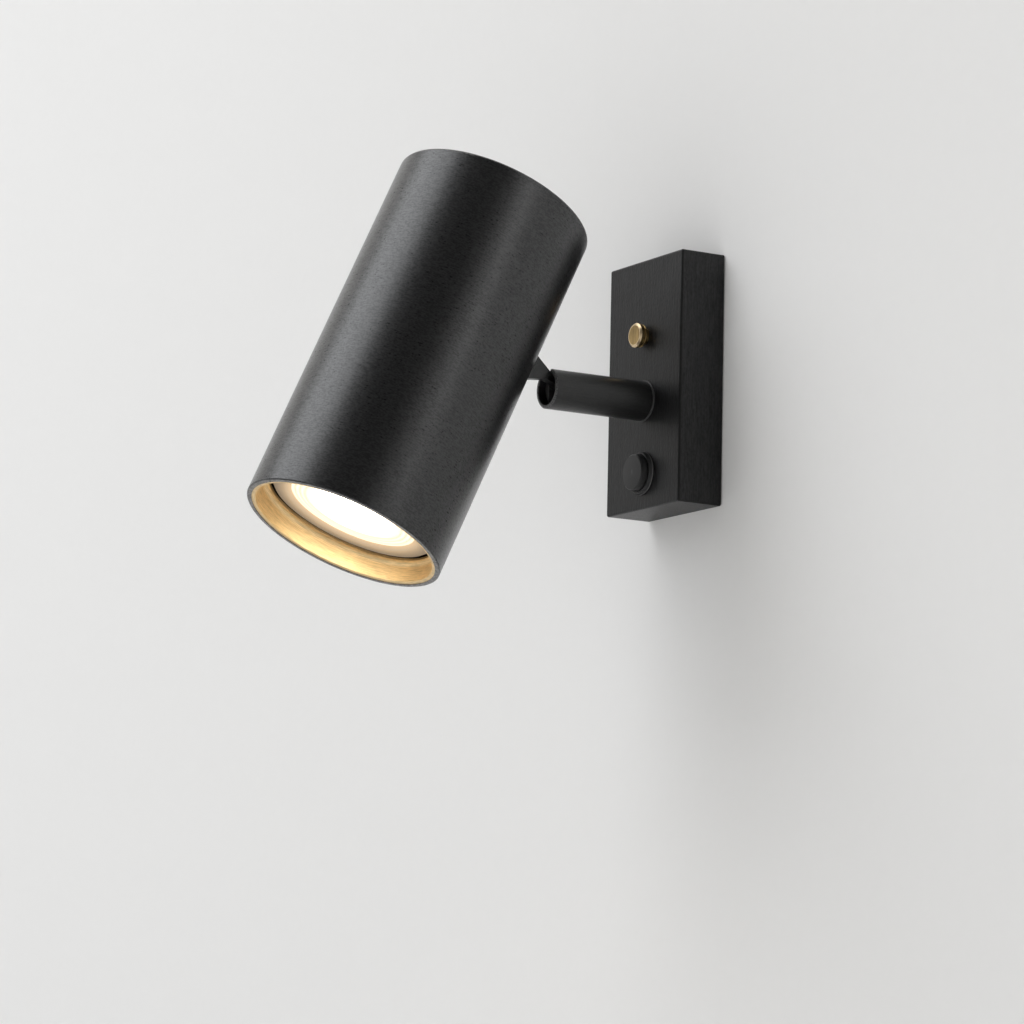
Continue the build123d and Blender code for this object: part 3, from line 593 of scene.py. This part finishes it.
def turned_piece(name, profile, places, turn, material, segments, thread=NO_THREAD, slot=NO_SLOT):
    """A profile of (radius, level) points in millimetres, spun and set at each place."""
    tree = bpy.data.node_groups.get("turned_pieces") or turned_tree()
    outline = points_object(name + "_profile", [(r * MM, 0, z * MM) for r, z in profile], joined=True)
    radius, pitch, depth = thread
    width, floor = slot
    values = {
        "Profile": outline,
        "Turn": tuple(turn),
        "Segments": segments,
        "Thread Radius": radius * MM,
        "Thread Pitch": pitch * MM,
        "Thread Depth": depth * MM,
        "Slot Width": width * MM,
        "Slot Floor": floor * MM,
        "Material": material,
    }
    piece = bake(name, points_object(name + "_places", places), tree, values)
    bpy.data.objects.remove(outline)
    return piece


def threaded(radius, start, end, pitch):
    """Profile points of a thread's outside, from one level to another, ends included."""
    count = max(2, round(abs(end - start) / pitch * THREAD_STEPS))
    return [(radius, start + (end - start) * step / count) for step in range(count + 1)]


def join_frame(piece, body, node):
    """Seat a finished piece on its body in a node's stead."""
    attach(piece, body)
    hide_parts(node)


def dress(material, *names):
    """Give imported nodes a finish."""
    for name in names:
        for place in frame["nodes"][name].material_slots:
            place.material = material


# ---- settings ----


def colour_property(name, description, default):
    return FloatVectorProperty(
        name=name, description=description, default=default, subtype="COLOR", min=0.0, max=1.0
    )


def number_property(name, description, default, **limits):
    return FloatProperty(name=name, description=description, default=default, **limits)


class SpotlightColours(bpy.types.PropertyGroup):
    """Colours of the finishes."""

    head: colour_property("Head black", "Coat of the lamp head", (0.007, 0.007, 0.0075))
    cover: colour_property("Cover black", "Coat of the wall cover", (0.011, 0.011, 0.0115))
    tube: colour_property("Tube black", "Coat of the arm's tube and lever", (0.009, 0.009, 0.009))
    button: colour_property("Button black", "Plastic of the switch", (0.008, 0.008, 0.0085))
    brass: colour_property("Liner brass", "Liner of the mouth", (0.98, 0.735, 0.40))
    screw: colour_property("Screw brass", "Screw of the cover", (0.53, 0.37, 0.16))
    steel: colour_property("Steel", "Plated sheet and fasteners", (0.62, 0.63, 0.64))
    lamp: colour_property("Lamp ring", "Moulded body of the lamp", (0.31, 0.26, 0.22))
    glow: colour_property("Lamp glow", "Light that spreads into the lamp's ring", (0.62, 0.42, 0.21))
    hot: colour_property("Lens middle", "Light from the lens's middle", (1.0, 0.93, 0.80))
    edge: colour_property("Lens edge", "Light from the lens's edge", (0.086, 0.068, 0.046))
    wall: colour_property("Wall", "Wall behind the object", (0.92, 0.915, 0.905))
    floor: colour_property("Floor", "Floor below the object", (0.8, 0.8, 0.8))


class SpotlightSizes(bpy.types.PropertyGroup):
    """Sizes of the pieces that are made here, and strengths of the lights."""

    lens_rings: IntProperty(
        name="Lens rings", description="Raised rings near the lens's edge", default=3, min=0
    )
    lens_ring_height: number_property("Ring height", "Depth of a ring's groove", 0.12 * MM, unit="LENGTH")
    spring_wire: number_property("Spring wire", "Thickness of the coil's wire", 0.45 * MM, unit="LENGTH")
    spring_turns: number_property("Spring turns", "Turns of the coil", 4.5, min=1.0)
    lens_strength: number_property("Lens light", "Strength of the lens's light", 12.5)
    key_power: number_property("Key light", "Power of the large front light", 27.0, unit="POWER")
    side_power: number_property("Side light", "Power of the narrow side light", 0.01, unit="POWER")
    world_strength: number_property("Ambient", "Strength of the room's even light", 1.12)


# ---- pieces ----


class SPOTLIGHT_OT_head(bpy.types.Operator):
    """Finish the head's shell, with a fine grain that runs round it"""

    bl_idname = "spotlight.head"
    bl_label = "Head shell"

    def execute(self, context):
        def rim(finish):
            """The edge round the mouth, painted lighter as a highlight."""
            return ring_mask(finish, MOUTH, HEAD_TURN, inner=28.4, outer=29.6, low=-0.2, high=0.06)

        colour = context.scene.spotlight_colours.head
        coat = coated(
            "head_black", colour, MOUTH, HEAD_TURN, stroke=(1.7, 1.7, 0.35), pebble=(0.6, 0.6, 0.45),
            depth=0.03, contrast=0.1, roughness=0.33, specular=0.35, skin=0.5,
            edges=rim, edge_colour=(0.13, 0.12, 0.11),
        )
        dress(coat, "head_shell")
        return {"FINISHED"}


class SPOTLIGHT_OT_cover(bpy.types.Operator):
    """Finish the wall cover, with its fine upright grain"""

    bl_idname = "spotlight.cover"
    bl_label = "Wall cover"

    # how far inside the box, in millimetres, the look of an edge starts and is whole
    edge_start, edge_whole = 0.75, 0.25

    def execute(self, context):
        low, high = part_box("wall_cover")
        limits = (high.x / MM, -low.y / MM, high.z / MM)

        def edges(finish):
            """The rounded edges round the front and up the sides, which are coloured darker."""
            near = []
            for part, limit in zip(finish.split(finish.place(ORIGIN, UNTURNED, (1, 1, 1))), limits):
                away = finish.math("ABSOLUTE", part)
                near.append(finish.stretch(away, limit - self.edge_start, limit - self.edge_whole))
            across, out, up = near
            return finish.stretch(across * out + out * up + up * across, 0.2, 0.9)

        colour = context.scene.spotlight_colours.cover
        coat = coated(
            "cover_black", colour, ORIGIN, UNTURNED, stroke=(0.45, 0.45, 5), pebble=(0.45, 0.45, 0.9),
            depth=0.09, contrast=0.75, roughness=0.4, specular=0.3,
            edges=edges, edge_colour=(0.001, 0.001, 0.001),
        )
        dress(coat, "wall_cover")
        return {"FINISHED"}


class SPOTLIGHT_OT_arm(bpy.types.Operator):
    """Finish the arm's tube, fork and lever, and what they turn on"""

    bl_idname = "spotlight.arm"
    bl_label = "Arm"

    def execute(self, context):
        mouth = -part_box("arm_tube")[0].y / MM

        def ends(finish):
            """The edge at the tube's mouth, which is coloured lighter."""
            return ring_mask(finish, ARM_AXIS, OUT_TURN, inner=5.0, outer=6.1, low=mouth - 0.3, high=mouth)

        colour = context.scene.spotlight_colours.tube
        coat = coated(
            "tube_black", colour, ARM_AXIS, OUT_TURN, stroke=(0.45, 0.45, 4), pebble=(0.45, 0.45, 0.8),
            depth=0.07, contrast=0.5, roughness=0.38, specular=0.5,
            edges=ends, edge_colour=(0.13, 0.13, 0.13),
        )
        dress(coat, "arm_tube", "knuckle_ear")
        # the fork is a paler black than the tube: painted light that brightens the tube's shaded bore
        dress(moulded_plastic("fork_black", (0.05, 0.05, 0.05), 0.4), "knuckle_fork")
        dress(moulded_plastic("bush_nylon", (0.05, 0.05, 0.05), 0.5), "arm_bush")
        dress(moulded_plastic("washer_nylon", (0.02, 0.02, 0.02), 0.5), "pivot_washers")
        return {"FINISHED"}


class SPOTLIGHT_OT_brass(bpy.types.Operator):
    """Finish the liner of the mouth and turn the cover's screw"""

    bl_idname = "spotlight.brass"
    bl_label = "Brass pieces"

    # the cover's screw, in millimetres
    cap_radius = 3.7
    cap_height = 1.65
    cap_edge = 0.5
    groove_radius = 3.0
    groove_width = 0.35
    collar_radius = 3.5
    collar_height = 0.6
    corner = 0.1
    neck_radius = 2.5
    thread_radius = 2.0
    thread_pitch = 0.7
    thread_depth = 0.35
    thread_lead = 0.4
    segments = 72

    def screw_profile(self, tip, seat, face):
        """The cover screw from its tip to the middle of its face, in millimetres."""
        cap_seat = face - self.cap_height
        collar_top = cap_seat - self.groove_width
        collar_seat = collar_top - self.collar_height
        return [
            (0.0, tip),
            (self.thread_radius - self.thread_lead, tip),
            *threaded(self.thread_radius, tip + self.thread_lead, seat, self.thread_pitch),
            (self.neck_radius, seat),
            (self.neck_radius, collar_seat),
            (self.collar_radius - self.corner, collar_seat),
            (self.collar_radius, collar_seat + self.corner),
            (self.collar_radius, collar_top - self.corner),
            (self.collar_radius - self.corner, collar_top),
            (self.groove_radius, collar_top),
            (self.groove_radius, cap_seat),
            (self.cap_radius - self.corner, cap_seat),
            (self.cap_radius, cap_seat + self.corner),
            (self.cap_radius, face - self.cap_edge),
            (self.cap_radius - self.cap_edge, face),
            (0.0, face),
        ]

    def execute(self, context):
        colours = context.scene.spotlight_colours
        liner = brushed_metal(
            "liner_brass", colours.brass, MOUTH, HEAD_TURN,
            stroke=(4, 4, 0.25), roughness=0.44, depth=0.2, shade=0.4,
        )
        dress(liner, "brass_liner")
        low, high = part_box("cover_screw")
        tip, face = -high.y / MM, -low.y / MM

        def chamfer(finish):
            """The chamfer of the screw's cap, painted paler as a highlight."""
            inner = self.cap_radius - 0.75
            return ring_mask(finish, SCREW_AXIS, OUT_TURN, inner=inner, outer=4.0, low=face - 0.6, high=face)

        brass = brushed_metal(
            "screw_brass", colours.screw, SCREW_AXIS, OUT_TURN,
            stroke=(0.8, 6, 1), roughness=0.34, shade=0.55, painted_highlight=chamfer,
        )
        profile = self.screw_profile(tip, COVER_FACE / MM, face)
        thread = (self.thread_radius, self.thread_pitch, self.thread_depth)
        screw = turned_piece("brass_screw", profile, [SCREW_AXIS], OUT_TURN, brass, self.segments, thread)
        join_frame(screw, "wall_side", "cover_screw")
        return {"FINISHED"}


class SPOTLIGHT_OT_lamp(bpy.types.Operator):
    """Finish the lamp and make its ringed lens"""

    bl_idname = "spotlight.lamp"
    bl_label = "Lamp"

    # levels above the mouth and other sizes, in millimetres
    edge_level = 7.5
    back_level = 9.1
    crown = 0.5
    lamp_radius = 25.0
    steps = 60
    segments = 96

    def profile(self, radius, rings, height):
        """Profile of the lens in millimetres: a flat back, a rim, and a crowned face with rings."""
        points = [(0.0, self.back_level), (radius, self.back_level)]
        for step in range(self.steps, -1, -1):
            share = step / self.steps
            level = self.edge_level - self.crown * (1 - share * share)
            if share > LENS_RINGS:
                turn = (share - LENS_RINGS) / (1 - LENS_RINGS) * rings
                level += height * (0.5 - 0.5 * cos(2 * pi * turn))
            points.append((radius * share, level))
        return points

    def execute(self, context):
        colours = context.scene.spotlight_colours
        sizes = context.scene.spotlight_sizes
        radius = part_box("lamp_lens")[1].x / MM
        plastic = plastic_with_painted_glow("lamp_plastic", colours.lamp, colours.glow, radius, self.lamp_radius)
        dress(plastic, "lamp_body")
        glow = lit_lens("lit_lens", colours.hot, colours.edge, sizes.lens_strength, radius)
        profile = self.profile(radius, sizes.lens_rings, sizes.lens_ring_height / MM)
        lens = turned_piece("lens", profile, [MOUTH], HEAD_TURN, glow, self.segments)
        join_frame(lens, "head", "lamp_lens")
        return {"FINISHED"}


class SPOTLIGHT_OT_switch(bpy.types.Operator):
    """Finish the push switch and wind its spring"""

    bl_idname = "spotlight.switch"
    bl_label = "Push switch"

    # in millimetres: the coil's radius, the width of the bezel's edge that carries a painted highlight, and
    # its two levels from the wall
    spring_radius = 2.6
    rim_width = 0.12
    rim_low, rim_high = 15.3, 15.6

    def execute(self, context):
        colours = context.scene.spotlight_colours
        sizes = context.scene.spotlight_sizes
        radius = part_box("switch_body")[1].x / MM
        rim = {"inner": radius - self.rim_width, "outer": radius, "low": self.rim_low, "high": self.rim_high}

        # the bezel's outer edge, painted paler as a highlight
        def bezel_highlight_rim(finish):
            return ring_mask(finish, SWITCH_AXIS, OUT_TURN, **rim)

        dress(moulded_plastic("bezel_black", colours.button, 0.45, bezel_highlight_rim), "switch_body")
        dress(moulded_plastic("button_black", colours.button, 0.5), "push_button")
        low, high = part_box("button_spring")
        length = high.y - low.y
        stroke = (0.5, 0.5, 0.1)
        steel = brushed_metal(
            "spring_steel", (0.5, 0.5, 0.5), SWITCH_AXIS, OUT_TURN, stroke=stroke, roughness=0.3
        )
        values = {
            "Radius": self.spring_radius * MM,
            "Wire": sizes.spring_wire,
            "Length": length - sizes.spring_wire,
            "Turns": sizes.spring_turns,
            "Place": (0.0, high.y - sizes.spring_wire / 2, SWITCH_AXIS.z),
            "Turn": tuple(OUT_TURN),
            "Material": steel,
        }
        spring = bake("spring", points_object("spring_holder", []), coil_tree(), values)
        join_frame(spring, "wall_side", "button_spring")
        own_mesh(spring)
        return {"FINISHED"}


class SPOTLIGHT_OT_fasteners(bpy.types.Operator):
    """Turn the hidden screws and the hollow nipple, with their threads and slots"""

    bl_idname = "spotlight.fasteners"
    bl_label = "Fasteners"

    # all in millimetres: radii of the nipple, its pitch, its thread's depth and its lead at each end
    nipple_radius, nipple_bore, nipple_pitch, nipple_depth, nipple_lead = 4.0, 2.5, 1.0, 0.5, 0.4
    # a grub screw's radius, pitch, thread depth and rounded ends, and its slot's width and depth
    clamp_radius, clamp_pitch, clamp_depth, clamp_edge, clamp_slot = 1.2, 0.45, 0.2, 0.2, (0.45, 0.7)
    # the round-headed screws: radii of shank and head, the head's height and edge, the thread's pitch and
    # depth, and the slot's width and depth
    screw_lead = 0.3
    block_sizes = dict(
        shank=1.25, head=2.0, height=1.4, edge=0.3, pitch=0.5, depth=0.22, slot=(0.6, 0.7), segments=40
    )
    earth_sizes = dict(
        shank=2.0, head=3.6, height=2.4, edge=0.7, pitch=0.7, depth=0.3, slot=(0.9, 1.0), segments=48
    )
    strap_sizes = dict(
        shank=1.5, head=2.7, height=1.8, edge=0.5, pitch=0.5, depth=0.22, slot=(0.7, 0.9), segments=40
    )
    # the lampholder's screws lie this far from the head's axis, with their tips and tops this far up it
    strap_spread, strap_tip, strap_top = 10.0, 60.5, 70.0

    def nipple(self, steel):
        """The hollow nipple through the cover, threaded all along."""
        low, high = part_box("arm_nipple")
        start, end = -high.y / MM, -low.y / MM
        outer, bore, lead = self.nipple_radius, self.nipple_bore, self.nipple_lead
        profile = [
            (bore, start),
            (outer - lead, start),
            *threaded(outer, start + lead, end - lead, self.nipple_pitch),
            (outer - lead, end),
            (bore, end),
            (bore, start),
        ]
        thread = (outer, self.nipple_pitch, self.nipple_depth)
        piece = turned_piece("nipple", profile, [ARM_AXIS], OUT_TURN, steel, 64, thread)
        join_frame(piece, "arm", "arm_nipple")

    def clamp_screws(self, steel):
        """Six grub screws of the terminal block."""
        low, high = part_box("terminal_screws")
        radius, edge = self.clamp_radius, self.clamp_edge
        seat, top = -high.y / MM, -low.y / MM
        left, right = low.x + radius * MM, high.x - radius * MM
        first, last = low.z + radius * MM, high.z - radius * MM
        heights = (first, (first + last) / 2, last)
        places = [(across, 0, height) for across in (left, right) for height in heights]
        profile = [
            (0.0, seat),
            (radius - edge, seat),
            *threaded(radius, seat + edge, top - edge, self.clamp_pitch),
            (radius - edge, top),
            (0.0, top),
        ]
        width, depth = self.clamp_slot
        thread = (radius, self.clamp_pitch, self.clamp_depth)
        slot = (width, top - depth)
        piece = turned_piece("clamp_screws", profile, places, OUT_TURN, steel, 32, thread, slot)
        join_frame(piece, "wall_side", "terminal_screws")

    def round_headed(
        self, name, places, turn, tip, top, steel, *, shank, head, height, edge, pitch, depth, slot, segments
    ):
        """Slotted screws with round heads, between the levels of their tips and tops in millimetres."""
        seat = top - height
        profile = [
            (0.0, tip),
            (shank - self.screw_lead, tip),
            *threaded(shank, tip + self.screw_lead, seat, pitch),
            (head, seat),
            (head, top - edge),
            (head - edge, top),
            (0.0, top),
        ]
        thread, cut = (shank, pitch, depth), (slot[0], top - slot[1])
        return turned_piece(name, profile, places, turn, steel, segments, thread, cut)

    def fixing_screw(self, name, node, steel, sizes):
        """A screw that stands out from the wall, in a node's stead."""
        low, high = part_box(node)
        place = middle(node)
        tip, top = -high.y / MM, -low.y / MM
        piece = self.round_headed(name, [(place.x, 0, place.z)], OUT_TURN, tip, top, steel, **sizes)
        join_frame(piece, "wall_side", node)

    def strap_screws(self, steel):
        """Two screws that hold the lampholder to its strap."""
        places = [MOUTH + HEAD_BACK * (side * self.strap_spread * MM) for side in (-1, 1)]
        tip, top = self.strap_tip, self.strap_top
        piece = self.round_headed("strap_screws", places, HEAD_TURN, tip, top, steel, **self.strap_sizes)
        join_frame(piece, "head", "holder_screws")

    def execute(self, context):
        colour = context.scene.spotlight_colours.steel
        stroke = (1, 1, 0.2)
        steel = brushed_metal("screw_steel", colour, ARM_AXIS, OUT_TURN, stroke=stroke, roughness=0.32)
        self.nipple(steel)
        self.clamp_screws(steel)
        self.fixing_screw("block_fixing", "block_screw", steel, self.block_sizes)
        self.fixing_screw("earth_fixing", "earth_screw", steel, self.earth_sizes)
        self.strap_screws(steel)
        return {"FINISHED"}


class SPOTLIGHT_OT_fittings(bpy.types.Operator):
    """Finish the hidden sheet metal, nuts, washers and electrical pieces"""

    bl_idname = "spotlight.fittings"
    bl_label = "Fittings"

    def execute(self, context):
        steel = context.scene.spotlight_colours.steel
        rolled = (0.4, 0.4, 6)
        sheet = brushed_metal("zinc_sheet", steel, ORIGIN, UNTURNED, stroke=rolled, roughness=0.42)
        dress(sheet, "mounting_bracket", "cover_standoff", "lampholder_bracket", "saddle_washer")
        spun = (2, 2, 0.2)
        turned = brushed_metal("zinc_turned", steel, ARM_AXIS, OUT_TURN, stroke=spun, roughness=0.35)
        dress(turned, "tab_washer", "disc_spring", "lock_nut", "ear_nut", "earth_washer", "pivot_screw")
        drawn = (1, 1, 0.3)
        brass = (0.76, 0.66, 0.45)
        plated = brushed_metal("plated_brass", brass, ORIGIN, UNTURNED, stroke=drawn, roughness=0.35)
        dress(plated, "arm_plug", "switch_nut", "switch_terminals", "terminal_inserts")
        dress(plated, "holder_contacts", "lamp_pins")
        dress(moulded_plastic("pale_nylon", (0.8, 0.79, 0.74), 0.5), "terminal_block")
        dress(moulded_plastic("fibre", (0.3, 0.12, 0.08), 0.7), "friction_washer")
        dress(moulded_plastic("plunger_black", (0.02, 0.02, 0.02), 0.4), "button_plunger")
        dress(pressed_ceramic("steatite", (0.86, 0.83, 0.78)), "lampholder")
        return {"FINISHED"}


# ---- stage ----


def one_sided(name, colour):
    """Matt paint on the side that faces the room, and clear from behind."""
    finish = Finish(name)
    grain = finish.even_noise(4, detail=3.0)
    tone = finish.mix(grain, darker(colour, 0.015), colour)
    paint = finish.add("ShaderNodeBsdfDiffuse", {"Color": tone, "Roughness": 0.5})
    clear = finish.add("ShaderNodeBsdfTransparent")
    behind = finish.find(finish.add("ShaderNodeNewGeometry"), "Backfacing")
    both = finish.add("ShaderNodeMixShader", {0: behind, 1: paint, 2: clear})
    finish.add("ShaderNodeOutputMaterial", {"Surface": both})
    return finish.material


def stage_sheet(name, corners, faces, material):
    """A flat sheet of the stage, whose front is the side from which its faces run anticlockwise."""
    mesh = bpy.data.meshes.new(name)
    mesh.from_pydata(corners, [], faces)
    mesh.materials.append(material)
    sheet = new_object(name, mesh)


def soft_light(name, target, power, *, place, size, colour, spread):
    """A rectangular light that looks at a point, and isn't seen itself."""
    lamp = bpy.data.lights.new(name, "AREA")
    lamp.shape = "RECTANGLE"
    lamp.size, lamp.size_y = size
    lamp.energy = power
    lamp.color = colour
    lamp.spread = spread
    holder = new_object(name, lamp)
    holder.location = place
    holder.visible_camera = False
    holder.rotation_euler = (Vector(target) - Vector(place)).to_track_quat("-Z", "Y").to_euler()


class SPOTLIGHT_OT_stage(bpy.types.Operator):
    """Put up the wall, the floor, the lights and the camera"""

    bl_idname = "spotlight.stage"
    bl_label = "Stage"

    wall_gap = 0.4 * MM
    opening_inset = 2.5 * MM
    wall_reach = 2.5
    floor_reach = 9.0
    floor_level = -0.34
    camera_place = (1.034602, -0.673936, -0.232165)
    camera_yaw = radians(59.313)
    camera_pitch = radians(-8.921)
    camera_roll = radians(1.273)
    camera_lens = 146.304
    camera_sensor = 36.0
    camera_nearest = 0.05
    key_light = dict(place=(-0.81, -1.62, 1.5), size=(1.8, 2.0), colour=(0.93, 0.96, 1.0), spread=pi)
    side_light = dict(
        place=(0.225, -0.016, 0.09), size=(0.04, 0.3), colour=(1.0, 1.0, 1.0), spread=radians(70)
    )
    room_colour = (1.0, 0.985, 0.96)
    # directions in which the room is dimmer, the cosines where that starts and is whole, and what is left
    dim_sides = (
        ((0.704, -0.43, 0.565), 0.5, 0.95, 0.06),
        ((-0.83, -0.54, 0.15), 0.6, 0.98, 0.55),
    )

    def sheets(self, colours):
        """The wall, with an opening for the wires behind the cover, and the floor."""
        reach, level, gap = self.wall_reach, self.floor_level, self.wall_gap
        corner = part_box("wall_cover")[1]
        right, top = corner.x - self.opening_inset, corner.z - self.opening_inset
        outer = [(-reach, gap, level), (reach, gap, level), (reach, gap, reach), (-reach, gap, reach)]
        inner = [(-right, gap, -top), (right, gap, -top), (right, gap, top), (-right, gap, top)]
        sides = [(0, 1, 5, 4), (1, 2, 6, 5), (2, 3, 7, 6), (3, 0, 4, 7)]
        far = self.floor_reach
        floor = [(-far, -far, level), (far, -far, level), (far, far, level), (-far, far, level)]
        stage_sheet("wall", outer + inner, sides, one_sided("wall_paint", colours.wall))
        stage_sheet("floor", floor, [(0, 1, 2, 3)], one_sided("floor_paint", colours.floor))

    def lights(self, sizes):
        """The large light in front, and the narrow one beside the cover."""
        target = middle("head_shell")
        soft_light("key", target, sizes.key_power, **self.key_light)
        soft_light("side", target, sizes.side_power, **self.side_light)

    def room(self, sizes):
        """Even light from a plain pale room, dimmer on two sides."""
        world = bpy.data.worlds.new("room")
        bpy.context.scene.world = world
        world.use_nodes = True
        nodes = Nodes(world.node_tree)
        world.node_tree.nodes.clear()
        ahead = nodes.find(nodes.add("ShaderNodeTexCoord"), "Generated")
        strength = sizes.world_strength
        for side, start, whole, left in self.dim_sides:
            toward = nodes.add("ShaderNodeVectorMath", {0: ahead, 1: side}, out=1, operation="DOT_PRODUCT")
            strength = strength * nodes.stretch(
                toward, start, whole, 1.0, left, interpolation_type="SMOOTHSTEP"
            )
        light = nodes.add("ShaderNodeBackground", {"Color": opaque(self.room_colour), "Strength": strength})
        nodes.add("ShaderNodeOutputWorld", {"Surface": light})

    def camera(self):
        """The photograph's view, up at the object from its right."""
        yaw, pitch, roll = self.camera_yaw, self.camera_pitch, self.camera_roll
        back = Vector((sin(yaw) * cos(pitch), -cos(yaw) * cos(pitch), sin(pitch)))
        level = Vector((cos(yaw), sin(yaw), 0))
        upright = back.cross(level)
        right = level * cos(roll) + upright * sin(roll)
        up = upright * cos(roll) - level * sin(roll)
        lens = bpy.data.cameras.new("camera")
        lens.lens = self.camera_lens
        lens.sensor_width = self.camera_sensor
        lens.clip_start = self.camera_nearest
        camera = new_object("camera", lens)
        turn = Matrix((right, up, back)).transposed().to_4x4()
        camera.matrix_world = Matrix.Translation(self.camera_place) @ turn
        bpy.context.scene.camera = camera

    def execute(self, context):
        colours = context.scene.spotlight_colours
        sizes = context.scene.spotlight_sizes
        self.sheets(colours)
        self.lights(sizes)
        self.room(sizes)
        self.camera()
        context.scene.view_settings.view_transform = "Standard"
        return {"FINISHED"}


# ---- panel and registration ----

PIECES = (
    SPOTLIGHT_OT_head,
    SPOTLIGHT_OT_cover,
    SPOTLIGHT_OT_arm,
    SPOTLIGHT_OT_brass,
    SPOTLIGHT_OT_lamp,
    SPOTLIGHT_OT_switch,
    SPOTLIGHT_OT_fasteners,
    SPOTLIGHT_OT_fittings,
    SPOTLIGHT_OT_stage,
)


class SPOTLIGHT_PT_panel(bpy.types.Panel):
    """Sizes, colours and the operators that make each piece"""

    bl_idname = "SPOTLIGHT_PT_panel"
    bl_label = "Spotlight"
    bl_space_type = "VIEW_3D"
    bl_region_type = "UI"
    bl_category = "Spotlight"

    def draw(self, context):
        layout = self.layout
        for group in (context.scene.spotlight_sizes, context.scene.spotlight_colours):
            for name in group.__annotations__:
                layout.prop(group, name)
        for piece in PIECES:
            layout.operator(piece.bl_idname)


CLASSES = (SpotlightColours, SpotlightSizes, *PIECES, SPOTLIGHT_PT_panel)


def register():
    for made in CLASSES:
        bpy.utils.register_class(made)
    bpy.types.Scene.spotlight_colours = PointerProperty(type=SpotlightColours)
    bpy.types.Scene.spotlight_sizes = PointerProperty(type=SpotlightSizes)


def unregister():
    del bpy.types.Scene.spotlight_sizes
    del bpy.types.Scene.spotlight_colours
    for made in reversed(CLASSES):
        bpy.utils.unregister_class(made)


def main():
    register()
    bpy.ops.spotlight.head()
    bpy.ops.spotlight.cover()
    bpy.ops.spotlight.arm()
    bpy.ops.spotlight.brass()
    bpy.ops.spotlight.lamp()
    bpy.ops.spotlight.switch()
    bpy.ops.spotlight.fasteners()
    bpy.ops.spotlight.fittings()
    bpy.ops.spotlight.stage()


if __name__ == "__main__":
    main()
